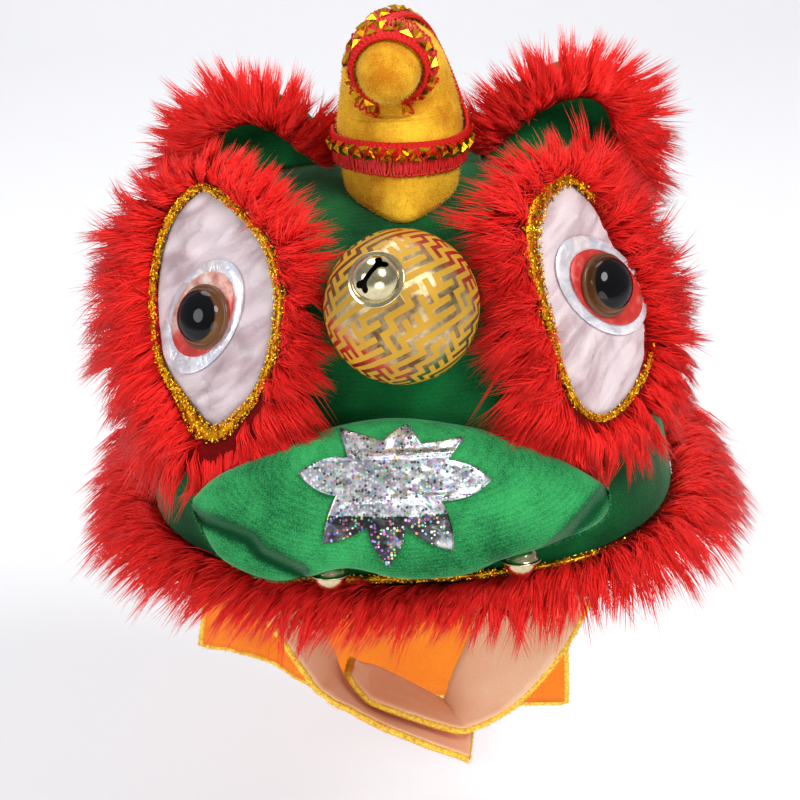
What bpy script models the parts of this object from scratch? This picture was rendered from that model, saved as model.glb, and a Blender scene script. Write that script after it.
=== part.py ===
"""A lion dance head costume for a small pet, in metres, +Z up. The face looks towards -Y.

The velvet head is hollow and open below. It carries a horn, two ears, two eyes ringed with fur, a nose
ball with a bell, a stuffed lip with a foil star and two bells, a fur brim, two fastening straps and a
cape. The origin is the seat of the head: the inner top of the crown.
"""

import math
import random

import bmesh
import bpy
from mathutils import Vector
from mathutils.bvhtree import BVHTree

# Clearance between neighbouring pieces, and the angle above which an edge is drawn sharp
GAP = 0.0004
SHARP_ANGLE = math.radians(40)

# Head: foam-backed velvet, a row for each level from the rim up to the crown
WALL = 0.0045
CROWN_TOP = 0.0045
HEAD_SIDES = 38
HEAD_ROWS = (
    # height, left, right, front, back, squareness
    (-0.112, 0.086, 0.095, 0.080, 0.072, 2.6),
    (-0.098, 0.087, 0.093, 0.080, 0.073, 2.7),
    (-0.075, 0.087, 0.088, 0.0785, 0.0745, 2.8),
    (-0.045, 0.085, 0.085, 0.076, 0.073, 2.8),
    (-0.022, 0.081, 0.080, 0.070, 0.067, 2.7),
    (-0.008, 0.071, 0.070, 0.059, 0.057, 2.6),
    (0.000, 0.052, 0.051, 0.042, 0.042, 2.4),
    (0.0035, 0.026, 0.026, 0.023, 0.023, 2.2),
)

# Eyes: a flat bed on each front corner of the head, in the eye's own plane
EYE_CENTRE = Vector((0.0605, -0.047, -0.025))
EYE_FACING = Vector((0.595, -0.684, 0.423)).normalized()
EYE_BED = 0.0045
PANEL_RINGS = (
    # share of the outline, drop of the front face
    (0.50, 0.0),
    (0.90, 0.0002),
    (1.0, 0.0013),
)
PANEL_HEM = 0.0026
PANEL_HEM_DROP = 0.0030
FOIL_THICKNESS = 0.0005
FOIL_SIDES = 28
DOME_PROFILE = (
    # share of the radius, height
    (1.0, 0.0),
    (1.0, 0.0009),
    (0.93, 0.0016),
    (0.86, 0.0032),
    (0.66, 0.0052),
    (0.36, 0.0064),
)
DOME_TOP = 0.0068
DOME_SIDES = 18
TINSEL_STEPS = 30
TINSEL_SIDES = 5
EYES = {
    "left": {
        "side": -1,
        # across, up: the almond outline of the white panel
        "outline": (
            (-0.0128, 0.0370),
            (0.0018, 0.0331),
            (0.0161, 0.0251),
            (0.0249, 0.0112),
            (0.0275, -0.0040),
            (0.0262, -0.0165),
            (0.0209, -0.0255),
            (0.0125, -0.0322),
            (0.0016, -0.0280),
            (-0.0124, -0.0199),
            (-0.0208, -0.0070),
            (-0.0250, 0.0087),
            (-0.0244, 0.0238),
            (-0.0190, 0.0335),
        ),
        # across, up, half length, half width, lean in degrees
        "foil": (-0.0010, -0.0010, 0.0205, 0.0140, 65),
        "ring": (-0.0005, 0.0, 0.0150, 0.0112, 65),
        "dome": (0.0012, -0.0005, 0.0104),
        # reach of the fur: away from the nose, up, towards the nose, down
        "fur": (0.034, 0.016, 0.024, 0.023),
        # place of the tinsel's bunch in degrees round the eye, and its extra width
        "bunch": (-70, 0.0030),
    },
    "right": {
        "side": 1,
        "outline": (
            (0.0081, 0.0359),
            (0.0150, 0.0290),
            (0.0190, 0.0200),
            (0.0225, 0.0090),
            (0.0245, -0.0033),
            (0.0226, -0.0167),
            (0.0142, -0.0277),
            (0.0013, -0.0343),
            (-0.0088, -0.0348),
            (-0.0153, -0.0279),
            (-0.0168, -0.0157),
            (-0.0152, -0.0030),
            (-0.0134, 0.0130),
            (-0.0086, 0.0264),
            (-0.0010, 0.0335),
        ),
        "foil": (0.0075, 0.0030, 0.0205, 0.0138, 131),
        "ring": (0.0085, 0.0020, 0.0160, 0.0108, 134),
        "dome": (0.0078, 0.0028, 0.0104),
        "fur": (0.028, 0.016, 0.030, 0.020),
        "bunch": (105, 0.0040),
    },
}
TINSEL_WIDTH = 0.0026
TINSEL_HEIGHT = 0.0028

# Fur: sections across a band, at a lock's tip and in the gap between two locks
LOCK_SECTION = (
    # share of the reach, share of the height
    (0.0, -0.45),
    (0.0, 0.60),
    (0.30, 1.0),
    (0.62, 0.78),
    (1.0, 0.08),
    (0.55, -0.45),
)
GAP_SECTION = (
    (0.0, -0.45),
    (0.0, 0.55),
    (0.26, 0.86),
    (0.46, 0.55),
    (0.66, -0.02),
    (0.42, -0.42),
)
LOCK_SCATTER = 0.26
EYE_LOCKS = 26
EYE_FUR_HEIGHT = 0.0075
EYE_FUR_SWEEP = 0.30

# Horn: a row for each section, bent forward over the brow
HORN_SIDES = 20
HORN_BASE = (0.0030, -0.0125, 0.0222)
HORN_POINT = 0.0045
HORN_POINT_SPREAD = 26
HORN_ROWS = (
    # x, y, z, radius
    (0.0030, -0.0105, 0.0120, 0.0216),
    (0.0030, -0.0077, 0.0205, 0.0208),
    (0.0028, -0.0060, 0.0295, 0.0194),
    (0.0022, -0.0082, 0.0384, 0.0175),
    (0.0014, -0.0145, 0.0448, 0.0156),
    (0.0006, -0.0235, 0.0480, 0.0120),
    (0.0000, -0.0298, 0.0476, 0.0099),
    (-0.0004, -0.0350, 0.0462, 0.0085),
    (-0.0006, -0.0388, 0.0444, 0.0058),
)
HORN_TIP = (-0.0006, -0.0401, 0.0436)
HORN_SECTIONS = 14
HORN_STEP = 0.1
BRAID_WIDTH = 0.0092
BRAID_THICKNESS = 0.0011
BRAID_LIFT = 0.0012
BRAID_SECTION = (
    # share of the width, lift from the horn
    (-0.5, BRAID_LIFT),
    (0.0, BRAID_LIFT),
    (0.5, BRAID_LIFT),
    (0.5, BRAID_LIFT + BRAID_THICKNESS),
    (0.0, BRAID_LIFT + BRAID_THICKNESS),
    (-0.5, BRAID_LIFT + BRAID_THICKNESS),
)
BRAID_STEPS = 50
BRAID_ROWS = (
    # turn in degrees, 0 at the right and 90 at the back; place along the horn's rows
    (170, 0.90),
    (265, 0.20),
    (345, 0.60),
    (385, 1.70),
    (412, 3.00),
    (435, 4.10),
    (475, 4.95),
    (550, 5.40),
    (635, 5.45),
    (720, 5.45),
    (810, 5.45),
    (850, 5.45),
)

# Nose ball and bells
BALL_CENTRE = Vector((0.0015, -0.080, -0.0095))
BALL_RADIUS = 0.0235
NOSE_BELL_FACING = Vector((-0.23, -0.745, 0.625)).normalized()
NOSE_BELL = (0.0070, 0.0085)
LIP_BELL = (0.0056, 0.0068)
LIP_BELLS = {
    "bell_left": Vector((-0.0240, -0.0885, -0.0955)),
    "bell_right": Vector((0.0360, -0.0872, -0.0945)),
}
BELL_SIDES = 12
BELL_WALL = 0.0007
BELL_FLANGE = 0.0007
BELL_TILTS = [math.radians(angle) for angle in (66, 40, 16)]
SLOT_HALF_WIDTH = 0.11
SLOT_END_RADIUS = 0.22
SLOT_END_PLACE = 0.62
SLOT_END_SIDES = 8

# Lip: a stuffed cushion, a row for each section across; up leans back by LIP_LEAN
LIP_CENTRE = Vector((0.0, -0.0925, -0.0690))
LIP_LEAN = math.radians(27)
LIP_SECTIONS = 19
LIP_SIDES = 16
LIP_WRAP = 0.0120
LIP_ROWS = (
    # across, top, bottom, front depth
    (-0.0660, 0.0020, -0.0030, 0.0020),
    (-0.0580, 0.0088, -0.0165, 0.0070),
    (-0.0425, 0.0155, -0.0238, 0.0090),
    (-0.0315, 0.0195, -0.0236, 0.0095),
    (-0.0180, 0.0237, -0.0226, 0.0098),
    (-0.0010, 0.0252, -0.0255, 0.0100),
    (0.0180, 0.0224, -0.0246, 0.0098),
    (0.0300, 0.0189, -0.0216, 0.0095),
    (0.0480, 0.0110, -0.0185, 0.0088),
    (0.0600, 0.0040, -0.0125, 0.0060),
    (0.0645, 0.0000, -0.0070, 0.0022),
)
LIP_BACK = 0.0150
LIP_SEAM = ((-0.061, -0.004), (-0.043, -0.012), (-0.031, -0.021))
LIP_SEAM_DEPTH = 0.0030
LIP_SEAM_WIDTH = 0.0035

# Star on the lip: tips and the notches between them, across and up on the lip's face
STAR_OUTLINE = (
    (-0.0317, 0.0096),
    (-0.0164, 0.0139),
    (-0.0188, 0.0228),
    (-0.0057, 0.0184),
    (0.0016, 0.0234),
    (0.0059, 0.0173),
    (0.0196, 0.0190),
    (0.0139, 0.0121),
    (0.0270, 0.0054),
    (0.0117, -0.0003),
    (0.0148, -0.0156),
    (0.0005, -0.0081),
    (-0.0053, -0.0200),
    (-0.0114, -0.0077),
    (-0.0250, -0.0122),
    (-0.0204, 0.0023),
)
STAR_CENTRE = (-0.0035, 0.0050)
STAR_RINGS = (0.30, 0.55, 0.78, 1.0)
STAR_THICKNESS = 0.0005
STAR_LIFT = 0.0023

# Ears: a row for each station from the horn side outwards
EAR_SHEET = 0.0025
EAR_CUP = 0.0120
EAR_CUP_SPAN = 0.8
EAR_STATIONS = 9
EAR_STEPS = 4
EAR_RIM_Y = 0.012
EAR_BASE_Y = 0.006
EAR_ROWS = {
    # rim x, rim z, base x
    "left": (
        (-0.0190, 0.0105, -0.0225),
        (-0.0310, 0.0215, -0.0320),
        (-0.0445, 0.0280, -0.0430),
        (-0.0570, 0.0260, -0.0530),
        (-0.0660, 0.0180, -0.0610),
        (-0.0700, 0.0060, -0.0665),
        (-0.0705, -0.0050, -0.0700),
    ),
    "right": (
        (0.0275, 0.0125, 0.0300),
        (0.0405, 0.0245, 0.0400),
        (0.0550, 0.0320, 0.0500),
        (0.0695, 0.0325, 0.0600),
        (0.0800, 0.0235, 0.0680),
        (0.0835, 0.0085, 0.0725),
        (0.0820, -0.0040, 0.0750),
    ),
}
EAR_FUR_REACH = 0.0215
EAR_FUR_INSET = 0.0090
EAR_FUR_HEIGHT = 0.0080
EAR_FUR_SPACE = 0.0042
EAR_FUR_SHORTEST = 0.0060
EAR_LOCKS = 13

# Brim: tinsel and fur round the rim, from the left side past the front to the right side
BRIM_SPAN = (math.radians(160), math.radians(380))
BRIM_TINSEL_HEIGHT = -0.1040
BRIM_TINSEL_RADIUS = 0.0014
BRIM_TINSEL_STEPS = 40
BRIM_FUR_HEIGHT = -0.1100
BRIM_FUR_THICKNESS = 0.0062
BRIM_FUR_REACH = (0.0300, 0.0225)
BRIM_FUR_FALL = 0.42
BRIM_LOCKS = 34

# Straps: a row for each section, the near edge and then the far edge
STRAP_ACROSS = 2
STRAP_STEPS = 19
STRAP_THICKNESS = 0.0013
LINING_THICKNESS = 0.0008
LINING_GAP = 0.0009
STRAPS = {
    "left": {
        "inner": 1,
        "rows": (
            # near x, y, z, far x, y, z
            (-0.0716, -0.047, -0.0985, -0.0797, -0.014, -0.0985),
            (-0.0675, -0.048, -0.1110, -0.0735, -0.015, -0.1120),
            (-0.0470, -0.050, -0.1405, -0.0460, -0.019, -0.1415),
            (-0.0340, -0.051, -0.1645, -0.0318, -0.023, -0.1620),
            (-0.0283, -0.052, -0.1705, -0.0285, -0.026, -0.1680),
            (-0.0207, -0.052, -0.1760, -0.0252, -0.029, -0.1765),
            (-0.0130, -0.052, -0.1815, -0.0190, -0.030, -0.1850),
            (0.0045, -0.052, -0.1912, 0.0030, -0.030, -0.1950),
            (0.0193, -0.050, -0.2000, 0.0213, -0.030, -0.2030),
        ),
    },
    "right": {
        "inner": -1,
        "rows": (
            (0.0771, -0.047, -0.0985, 0.0860, -0.012, -0.0985),
            (0.0735, -0.046, -0.1110, 0.0800, -0.013, -0.1120),
            (0.0571, -0.045, -0.1520, 0.0330, -0.018, -0.1500),
            (0.0431, -0.045, -0.1740, 0.0206, -0.021, -0.1737),
            (0.0339, -0.045, -0.1834, 0.0158, -0.021, -0.1862),
            (0.0236, -0.045, -0.1895, 0.0141, -0.021, -0.1930),
            (0.0147, -0.045, -0.1908, 0.0100, -0.021, -0.1950),
            (-0.0108, -0.045, -0.1794, -0.0107, -0.021, -0.1810),
            (-0.0170, -0.043, -0.1758, -0.0165, -0.024, -0.1768),
            (-0.0216, -0.040, -0.1690, -0.0205, -0.028, -0.1715),
        ),
    },
}

# Cape: a panel hung inside the back of the rim, a row for each place across
CAPE_THICKNESS = 0.0015
CAPE_ACROSS = 15
CAPE_DOWN = 6
CAPE_TOP = -0.0990
CAPE_RIM = -0.1115
CAPE_GAP = 0.0020
CAPE_BOTTOM_Y = 0.0620
CAPE_WAVE = 0.0030
CAPE_WAVES = 2.5
CAPE_ROWS = (
    # x at the top, x at the bottom, height of the bottom
    (-0.0660, -0.0850, -0.2245),
    (-0.0600, -0.0700, -0.2235),
    (-0.0530, -0.0580, -0.2325),
    (-0.0400, -0.0427, -0.2415),
    (-0.0100, -0.0100, -0.2500),
    (0.0250, 0.0250, -0.2545),
    (0.0620, 0.0645, -0.2555),
)

FINISHES = {
    # red, green, blue, roughness, metallic
    "green velvet": (0.015, 0.180, 0.055, 0.90, 0.0),
    "yellow velvet": (0.750, 0.330, 0.020, 0.85, 0.0),
    "red fur": (0.620, 0.008, 0.012, 0.80, 0.0),
    "red braid": (0.560, 0.020, 0.010, 0.60, 0.0),
    "gold tinsel": (0.850, 0.480, 0.060, 0.30, 0.8),
    "white satin": (0.700, 0.640, 0.650, 0.45, 0.0),
    "silver foil": (0.800, 0.820, 0.860, 0.20, 1.0),
    "red foil": (0.600, 0.080, 0.060, 0.30, 0.3),
    "brown plastic": (0.120, 0.055, 0.025, 0.10, 0.0),
    "gold brocade": (0.680, 0.360, 0.070, 0.40, 0.3),
    "gilt metal": (0.850, 0.680, 0.380, 0.20, 1.0),
    "orange satin": (0.900, 0.250, 0.010, 0.50, 0.0),
    "grey-pink lining": (0.500, 0.360, 0.300, 0.70, 0.0),
}


def material(finish):
    """The material of one finish, made once."""
    if finish in bpy.data.materials:
        return bpy.data.materials[finish]
    red, green, blue, roughness, metallic = FINISHES[finish]
    made = bpy.data.materials.new(finish)
    made.use_nodes = True
    made.diffuse_color = (red, green, blue, 1.0)
    shader = made.node_tree.nodes["Principled BSDF"]
    shader.inputs["Base Color"].default_value = (red, green, blue, 1.0)
    shader.inputs["Roughness"].default_value = roughness
    shader.inputs["Metallic"].default_value = metallic
    return made


def piece(name, mesh, finish):
    """Turn a closed mesh into a named object of one finish."""
    bmesh.ops.recalc_face_normals(mesh, faces=mesh.faces)
    data = bpy.data.meshes.new(name)
    mesh.to_mesh(data)
    mesh.free()
    data.shade_smooth()
    data.set_sharp_from_angle(angle=SHARP_ANGLE)
    data.materials.append(material(finish))
    made = bpy.data.objects.new(name, data)
    bpy.context.collection.objects.link(made)
    return made


def surface_of(made):
    """A search tree of an object's surface, with its modifiers."""
    bpy.context.view_layer.update()
    return BVHTree.FromObject(made, bpy.context.evaluated_depsgraph_get())


def place(verts, points):
    """Put vertices at points, in order."""
    for vert, point in zip(verts, points):
        vert.co = point


def grow(mesh, verts, edges):
    """Extrude a loop of edges and give back the new loop in the same order."""
    made = bmesh.ops.extrude_edge_only(mesh, edges=edges)["geom"]
    fresh = {item for item in made if isinstance(item, bmesh.types.BMVert)}
    made_edges = [item for item in made if isinstance(item, bmesh.types.BMEdge)]
    new_edges = [edge for edge in made_edges if fresh.issuperset(edge.verts)]
    new_verts = []
    for vert in verts:
        others = (edge.other_vert(vert) for edge in vert.link_edges)
        new_verts.append(next(other for other in others if other in fresh))
    return new_verts, new_edges


def loft(rings, closed=False, tips=(None, None)):
    """A skin through rings of points. It closes on itself, or ends in flat caps or in pointed tips."""
    mesh = bmesh.new()
    first = bmesh.ops.create_circle(mesh, segments=len(rings[0]), radius=1)["verts"]
    first_edges = mesh.edges[:]
    place(first, rings[0])
    verts, edges = first, first_edges
    for ring in [*rings[1:], *(rings[:1] if closed else [])]:
        verts, edges = grow(mesh, verts, edges)
        place(verts, ring)
    if closed:
        bmesh.ops.weld_verts(mesh, targetmap=dict(zip(verts, first)))
        return mesh
    for ends, tip in zip((first_edges, edges), tips):
        cap = bmesh.ops.edgeloop_fill(mesh, edges=ends)["faces"]
        if tip is not None:
            bmesh.ops.poke(mesh, faces=cap)["verts"][0].co = tip
    return mesh


def blend(rows, place_along):
    """Values of a table between its rows, on a smooth curve through them."""
    step = min(int(place_along), len(rows) - 2)
    part = place_along - step
    before, start, end, after = (rows[min(max(step + k, 0), len(rows) - 1)] for k in (-1, 0, 1, 2))
    return [
        0.5
        * (
            2 * b
            + (c - a) * part
            + (2 * a - 5 * b + 4 * c - d) * part**2
            + (3 * b - a - 3 * c + d) * part**3
        )
        for a, b, c, d in zip(before, start, end, after)
    ]


def spread(rows, steps):
    """Smooth rows at even steps from the first row of a table to its last."""
    return [blend(rows, (len(rows) - 1) * step / (steps - 1)) for step in range(steps)]


def even(points, count, closed=False):
    """Points at even distances along a path."""
    path = [Vector(point) for point in points] + ([Vector(points[0])] if closed else [])
    lengths = [0.0]
    for start, end in zip(path, path[1:]):
        lengths.append(lengths[-1] + (end - start).length)
    spans = count if closed else count - 1
    found = []
    leg = 0
    for step in range(count):
        target = lengths[-1] * step / spans
        while leg < len(path) - 2 and lengths[leg + 1] < target:
            leg += 1
        part = (target - lengths[leg]) / (lengths[leg + 1] - lengths[leg])
        found.append(path[leg].lerp(path[leg + 1], part))
    return found


def round_outline(points, count):
    """A smooth closed outline through a few points, at even distances."""
    looped = [points[-1], *points, points[0], points[1]]
    fine = []
    for step in range(len(points)):
        for part in range(6):
            fine.append(blend(looped[step : step + 4], 1 + part / 6))
    return even([(across, up, 0.0) for across, up in fine], count, closed=True)


def rest_on(mesh, tree, gap=GAP):
    """Move the points of a mesh that lie inside a surface, or too near it, just outside it."""
    for vert in mesh.verts:
        near, normal, _, _ = tree.find_nearest(vert.co)
        depth = gap - (vert.co - near).dot(normal)
        if depth > 0:
            vert.co = vert.co + normal * depth


def clearance(point, tree):
    """How far a point lies outside a closed surface."""
    near, normal, _, _ = tree.find_nearest(point)
    return (point - near).dot(normal)


class EyeFrame:
    """The plane of one eye: across to the viewer's right, up, and out of the head."""

    def __init__(self, side):
        self.centre = Vector((side * EYE_CENTRE.x, EYE_CENTRE.y, EYE_CENTRE.z))
        self.out = Vector((side * EYE_FACING.x, EYE_FACING.y, EYE_FACING.z))
        self.across = Vector((0, 0, 1)).cross(self.out).normalized()
        self.up = self.out.cross(self.across)

    def at(self, across, up, height):
        """A point over the eye's plane."""
        return self.centre + self.across * across + self.up * up + self.out * height

    def height_of(self, point):
        """How far a point lies in front of the eye's plane."""
        return (point - self.centre).dot(self.out)


EYE_FRAMES = {name: EyeFrame(eye["side"]) for name, eye in EYES.items()}


def head_row(height):
    """The head's half sizes at a level, straight between two rows."""
    for low, high in zip(HEAD_ROWS, HEAD_ROWS[1:]):
        if height <= high[0]:
            part = max(0.0, (height - low[0]) / (high[0] - low[0]))
            return [a + (b - a) * part for a, b in zip(low, high)]
    return list(HEAD_ROWS[-1])


def head_point(row, angle, out=0.0):
    """A point of the head's outline at one level, angle 0 at the viewer's right and 90 at the back."""
    height, left, right, front, back, square = row
    cosine = math.cos(angle)
    sine = math.sin(angle)
    half_x = (right if cosine > 0 else left) + out
    half_y = (back if sine > 0 else front) + out
    x = math.copysign(half_x * abs(cosine) ** (2 / square), cosine)
    y = math.copysign(half_y * abs(sine) ** (2 / square), sine)
    return Vector((x, y, height))


def bedded(point):
    """A point of the head pressed back to the flat bed of the eye that it lies under."""
    for frame in EYE_FRAMES.values():
        over = frame.height_of(point) + EYE_BED
        if over > 0:
            point = point - frame.out * over
    return point


def make_head():
    """The hollow head. It gives back two search trees: its outer skin, and its whole wall."""
    turns = [2 * math.pi * step / HEAD_SIDES for step in range(HEAD_SIDES)]
    rings = [[bedded(head_point(row, turn)) for turn in turns] for row in HEAD_ROWS]
    mesh = loft(rings, tips=(None, Vector((0, 0, CROWN_TOP))))
    mesh.faces.ensure_lookup_table()
    bmesh.ops.recalc_face_normals(mesh, faces=mesh.faces)
    opening = [face for face in mesh.faces if len(face.verts) == HEAD_SIDES]
    bmesh.ops.delete(mesh, geom=opening, context="FACES_ONLY")
    skin = BVHTree.FromBMesh(mesh)
    made = piece("head_shell", mesh, "green velvet")
    wall = made.modifiers.new("Wall", "SOLIDIFY")
    wall.thickness = WALL
    wall.offset = -1
    return skin, surface_of(made)


def make_panel(name, frame, outline):
    """A padded satin panel on the eye's bed, with a soft edge and a thin hem that runs under the tinsel."""
    middle = sum(outline, Vector()) / len(outline)
    hem = [point + way * PANEL_HEM for point, way in zip(outline, outward(outline))]
    levels = (GAP - EYE_BED, -PANEL_HEM_DROP)
    rings = [[frame.at(point.x, point.y, level) for point in hem] for level in levels]
    for share, drop in reversed(PANEL_RINGS):
        rim = [middle.lerp(point, share) for point in outline]
        rings.append([frame.at(point.x, point.y, -drop) for point in rim])
    tip = frame.at(middle.x, middle.y, 0.0)
    piece(name, loft(rings, tips=(None, tip)), "white satin")


def oval(centre_across, centre_up, half_length, half_width, lean):
    """Points round a leaning oval in the eye's plane."""
    along = Vector((math.cos(math.radians(lean)), math.sin(math.radians(lean))))
    side = Vector((-along.y, along.x))
    points = []
    for step in range(FOIL_SIDES):
        turn = 2 * math.pi * step / FOIL_SIDES
        point = along * (half_length * math.cos(turn)) + side * (half_width * math.sin(turn))
        points.append((centre_across + point.x, centre_up + point.y))
    return points


def make_foils(name, frame, eye):
    """The silver oval and the red one on it. It gives back the height of the red one's face."""
    height = GAP
    for part, finish in (("foil", "silver foil"), ("ring", "red foil")):
        rim = oval(*eye[part])
        rings = [[frame.at(x, y, level) for x, y in rim] for level in (height, height + FOIL_THICKNESS)]
        piece(f"eye_{part}_{name}", loft(rings), finish)
        height += FOIL_THICKNESS + GAP
    return height


def make_dome(name, frame, eye, height):
    """The plastic eye, with a narrow rim round its dome."""
    across, up, radius = eye["dome"]
    rings = []
    for share, rise in DOME_PROFILE:
        reach = radius * share
        ring = []
        for step in range(DOME_SIDES):
            turn = 2 * math.pi * step / DOME_SIDES
            x, y = across + reach * math.cos(turn), up + reach * math.sin(turn)
            ring.append(frame.at(x, y, height + rise))
        rings.append(ring)
    tip = frame.at(across, up, height + DOME_TOP)
    piece(f"eye_dome_{name}", loft(rings, tips=(None, tip)), "brown plastic")


def outward(outline):
    """The sideways direction away from a closed outline, at each of its points."""
    found = []
    for index, point in enumerate(outline):
        along = outline[(index + 1) % len(outline)] - outline[index - 1]
        found.append(Vector((along.y, -along.x, 0)).normalized())
    area = sum(a.x * b.y - b.x * a.y for a, b in zip(outline, [*outline[1:], outline[0]]))
    return found if area > 0 else [-way for way in found]


def tinsel_width(eye, point):
    """The width of the tinsel cord, which is bunched at one place."""
    place_of_bunch, extra = eye["bunch"]
    turn = math.degrees(math.atan2(point.y, point.x)) - place_of_bunch
    turn = (turn + 180) % 360 - 180
    return TINSEL_WIDTH + extra * math.exp(-((turn / 22) ** 2))


def make_eye_tinsel(name, frame, eye):
    """A gold cord round the white panel."""
    outline = round_outline(eye["outline"], TINSEL_STEPS)
    rings = []
    for point, way in zip(outline, outward(outline)):
        width = tinsel_width(eye, point)
        centre = point + way * (GAP + width / 2)
        ring = []
        for step in range(TINSEL_SIDES):
            turn = 2 * math.pi * step / TINSEL_SIDES
            side = centre + way * (width / 2 * math.cos(turn))
            ring.append(frame.at(side.x, side.y, TINSEL_HEIGHT / 2 * math.sin(turn) - GAP))
        rings.append(ring)
    piece(f"eye_tinsel_{name}", loft(rings, closed=True), "gold tinsel")


def fur_ring(root, reach_way, lift_way, along_way, reach, height, sweep, section):
    """One section across a band of fur."""
    ring = []
    for reach_share, height_share in section:
        point = root + reach_way * (reach * reach_share) + lift_way * (height * height_share)
        ring.append(point + along_way * (reach * sweep * reach_share**2))
    return ring


def fur_reach(eye, side, turn):
    """How far the eye's fur reaches in one direction round the eye."""
    away, up, inward, down = eye["fur"]
    cosine = math.cos(turn) * side
    sine = math.sin(turn)
    level = away if cosine > 0 else inward
    upright = up if sine > 0 else down
    return level * cosine**2 + upright * sine**2


def make_eye_fur(name, frame, eye, lip, ball):
    """A ring of long fur round an eye. It lies over the lip and stops short of the ball."""
    scatter = random.Random(name)
    outline = round_outline(eye["outline"], 2 * EYE_LOCKS)
    ways = outward(outline)
    rings = []
    for index, (point, way) in enumerate(zip(outline, ways)):
        root = point + way * (tinsel_width(eye, point) + 2 * GAP)
        reach = fur_reach(eye, eye["side"], math.atan2(way.y, way.x))
        reach *= 1 + scatter.uniform(-LOCK_SCATTER, LOCK_SCATTER)
        along = Vector((-way.y, way.x, 0))
        reach_way = frame.at(way.x, way.y, 0) - frame.centre
        along_way = frame.at(along.x, along.y, 0) - frame.centre
        start = frame.at(root.x, root.y, 0)
        hit = ball.ray_cast(start + frame.out * 0.004, reach_way, reach + 0.004)
        if hit[0] is not None:
            reach = min(reach, hit[3] - 0.003)
        section = GAP_SECTION if index % 2 else LOCK_SECTION
        sweep = EYE_FUR_SWEEP * scatter.uniform(-1, 1)
        rings.append(
            fur_ring(start, reach_way, frame.out, along_way, reach, EYE_FUR_HEIGHT, sweep, section)
        )
    rise_over(rings, frame.out, lip)
    mesh = loft(rings, closed=True)
    rest_on(mesh, ball)
    piece(f"eye_fur_{name}", mesh, "red fur")


def rise_over(rings, out, tree):
    """Move each section of a band out until it and its neighbours lie over a surface."""
    needs = [max(lift_over(point, out, tree) for point in ring) for ring in rings]
    for index, ring in enumerate(rings):
        needed = max(needs[index - 1], needs[index], needs[(index + 1) % len(needs)])
        ring[:] = [point + out * needed for point in ring]


def lift_over(point, out, tree):
    """How far a point must rise along a direction to lie over a surface below it."""
    far = 0.05
    hit = tree.ray_cast(point + out * far, -out, 2 * far)
    if hit[0] is None:
        return 0.0
    return max(0.0, (hit[0] - point).dot(out) + 3 * GAP)


def horn_point(place_along, turn, lift=0.0):
    """A point of the horn's surface: its place counts along the horn's rows, 90 degrees is up its back."""
    x, y, z, radius = blend(HORN_ROWS, place_along)
    ahead = Vector(blend(HORN_ROWS, min(place_along + HORN_STEP, len(HORN_ROWS) - 1))[:3])
    behind = Vector(blend(HORN_ROWS, max(place_along - HORN_STEP, 0))[:3])
    along = (ahead - behind).normalized()
    back = along.cross(Vector((1, 0, 0))).normalized()
    side = back.cross(along)
    return Vector((x, y, z)) + (side * math.cos(turn) + back * math.sin(turn)) * (radius + lift)


def make_horn(skin):
    """The stuffed horn, whose foot follows the crown."""
    turns = [2 * math.pi * step / HORN_SIDES for step in range(HORN_SIDES)]
    centre_x, centre_y, radius = HORN_BASE
    foot = []
    for turn in turns:
        from_front = math.degrees(turn) - 270
        reach = radius + HORN_POINT * math.exp(-((from_front / HORN_POINT_SPREAD) ** 2))
        point = Vector((centre_x + reach * math.cos(turn), centre_y + reach * math.sin(turn), 0))
        foot.append(dropped(point, skin, 3 * GAP))
    places = [(len(HORN_ROWS) - 1) * step / (HORN_SECTIONS - 1) for step in range(HORN_SECTIONS)]
    rings = [foot] + [[horn_point(place_up, turn) for turn in turns] for place_up in places]
    middle = dropped(Vector((centre_x, centre_y, 0)), skin)
    mesh = loft(rings, tips=(middle, Vector(HORN_TIP)))
    return piece("horn", mesh, "yellow velvet")


def dropped(point, skin, gap=2 * GAP):
    """The place just above the head under or over a point."""
    hit = skin.ray_cast(Vector((point.x, point.y, 0.1)), Vector((0, 0, -1)))
    return hit[0] + Vector((0, 0, gap))


def make_braid(horn):
    """A flat braid wound up the horn and once round its tip."""
    rows = spread(BRAID_ROWS, BRAID_STEPS)
    rings = []
    for index, (degrees, height) in enumerate(rows):
        before = rows[max(index - 1, 0)]
        after = rows[min(index + 1, len(rows) - 1)]
        turn = math.radians(degrees)
        radius = blend(HORN_ROWS, height)[3]
        above, below = (Vector(blend(HORN_ROWS, height + part)[:3]) for part in (0.5, -0.5))
        row_length = (above - below).length
        climb = Vector((radius * math.radians(after[0] - before[0]), row_length * (after[1] - before[1])))
        climb.normalize()
        ring = []
        for share, lift in BRAID_SECTION:
            side = BRAID_WIDTH * share
            up = height + side * climb.x / row_length
            ring.append(horn_point(up, turn - side * climb.y / radius, lift))
        rings.append(ring)
    mesh = loft(rings)
    rest_on(mesh, horn, 2 * GAP)
    piece("horn_braid", mesh, "red braid")


def make_ball(skin):
    """The brocade ball, flattened where it is sewn to the face."""
    mesh = bmesh.new()
    bmesh.ops.create_uvsphere(mesh, u_segments=20, v_segments=12, radius=BALL_RADIUS)
    bmesh.ops.translate(mesh, verts=mesh.verts, vec=BALL_CENTRE)
    rest_on(mesh, skin, 3 * GAP)
    return piece("nose_ball", mesh, "gold brocade")


def helper(name, mesh):
    """A cutter, which isn't part of the object."""
    bmesh.ops.recalc_face_normals(mesh, faces=mesh.faces)
    data = bpy.data.meshes.new(name)
    mesh.to_mesh(data)
    mesh.free()
    made = bpy.data.objects.new(name, data)
    made.hide_render = True
    made.display_type = "WIRE"
    bpy.context.collection.objects.link(made)
    return made


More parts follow.
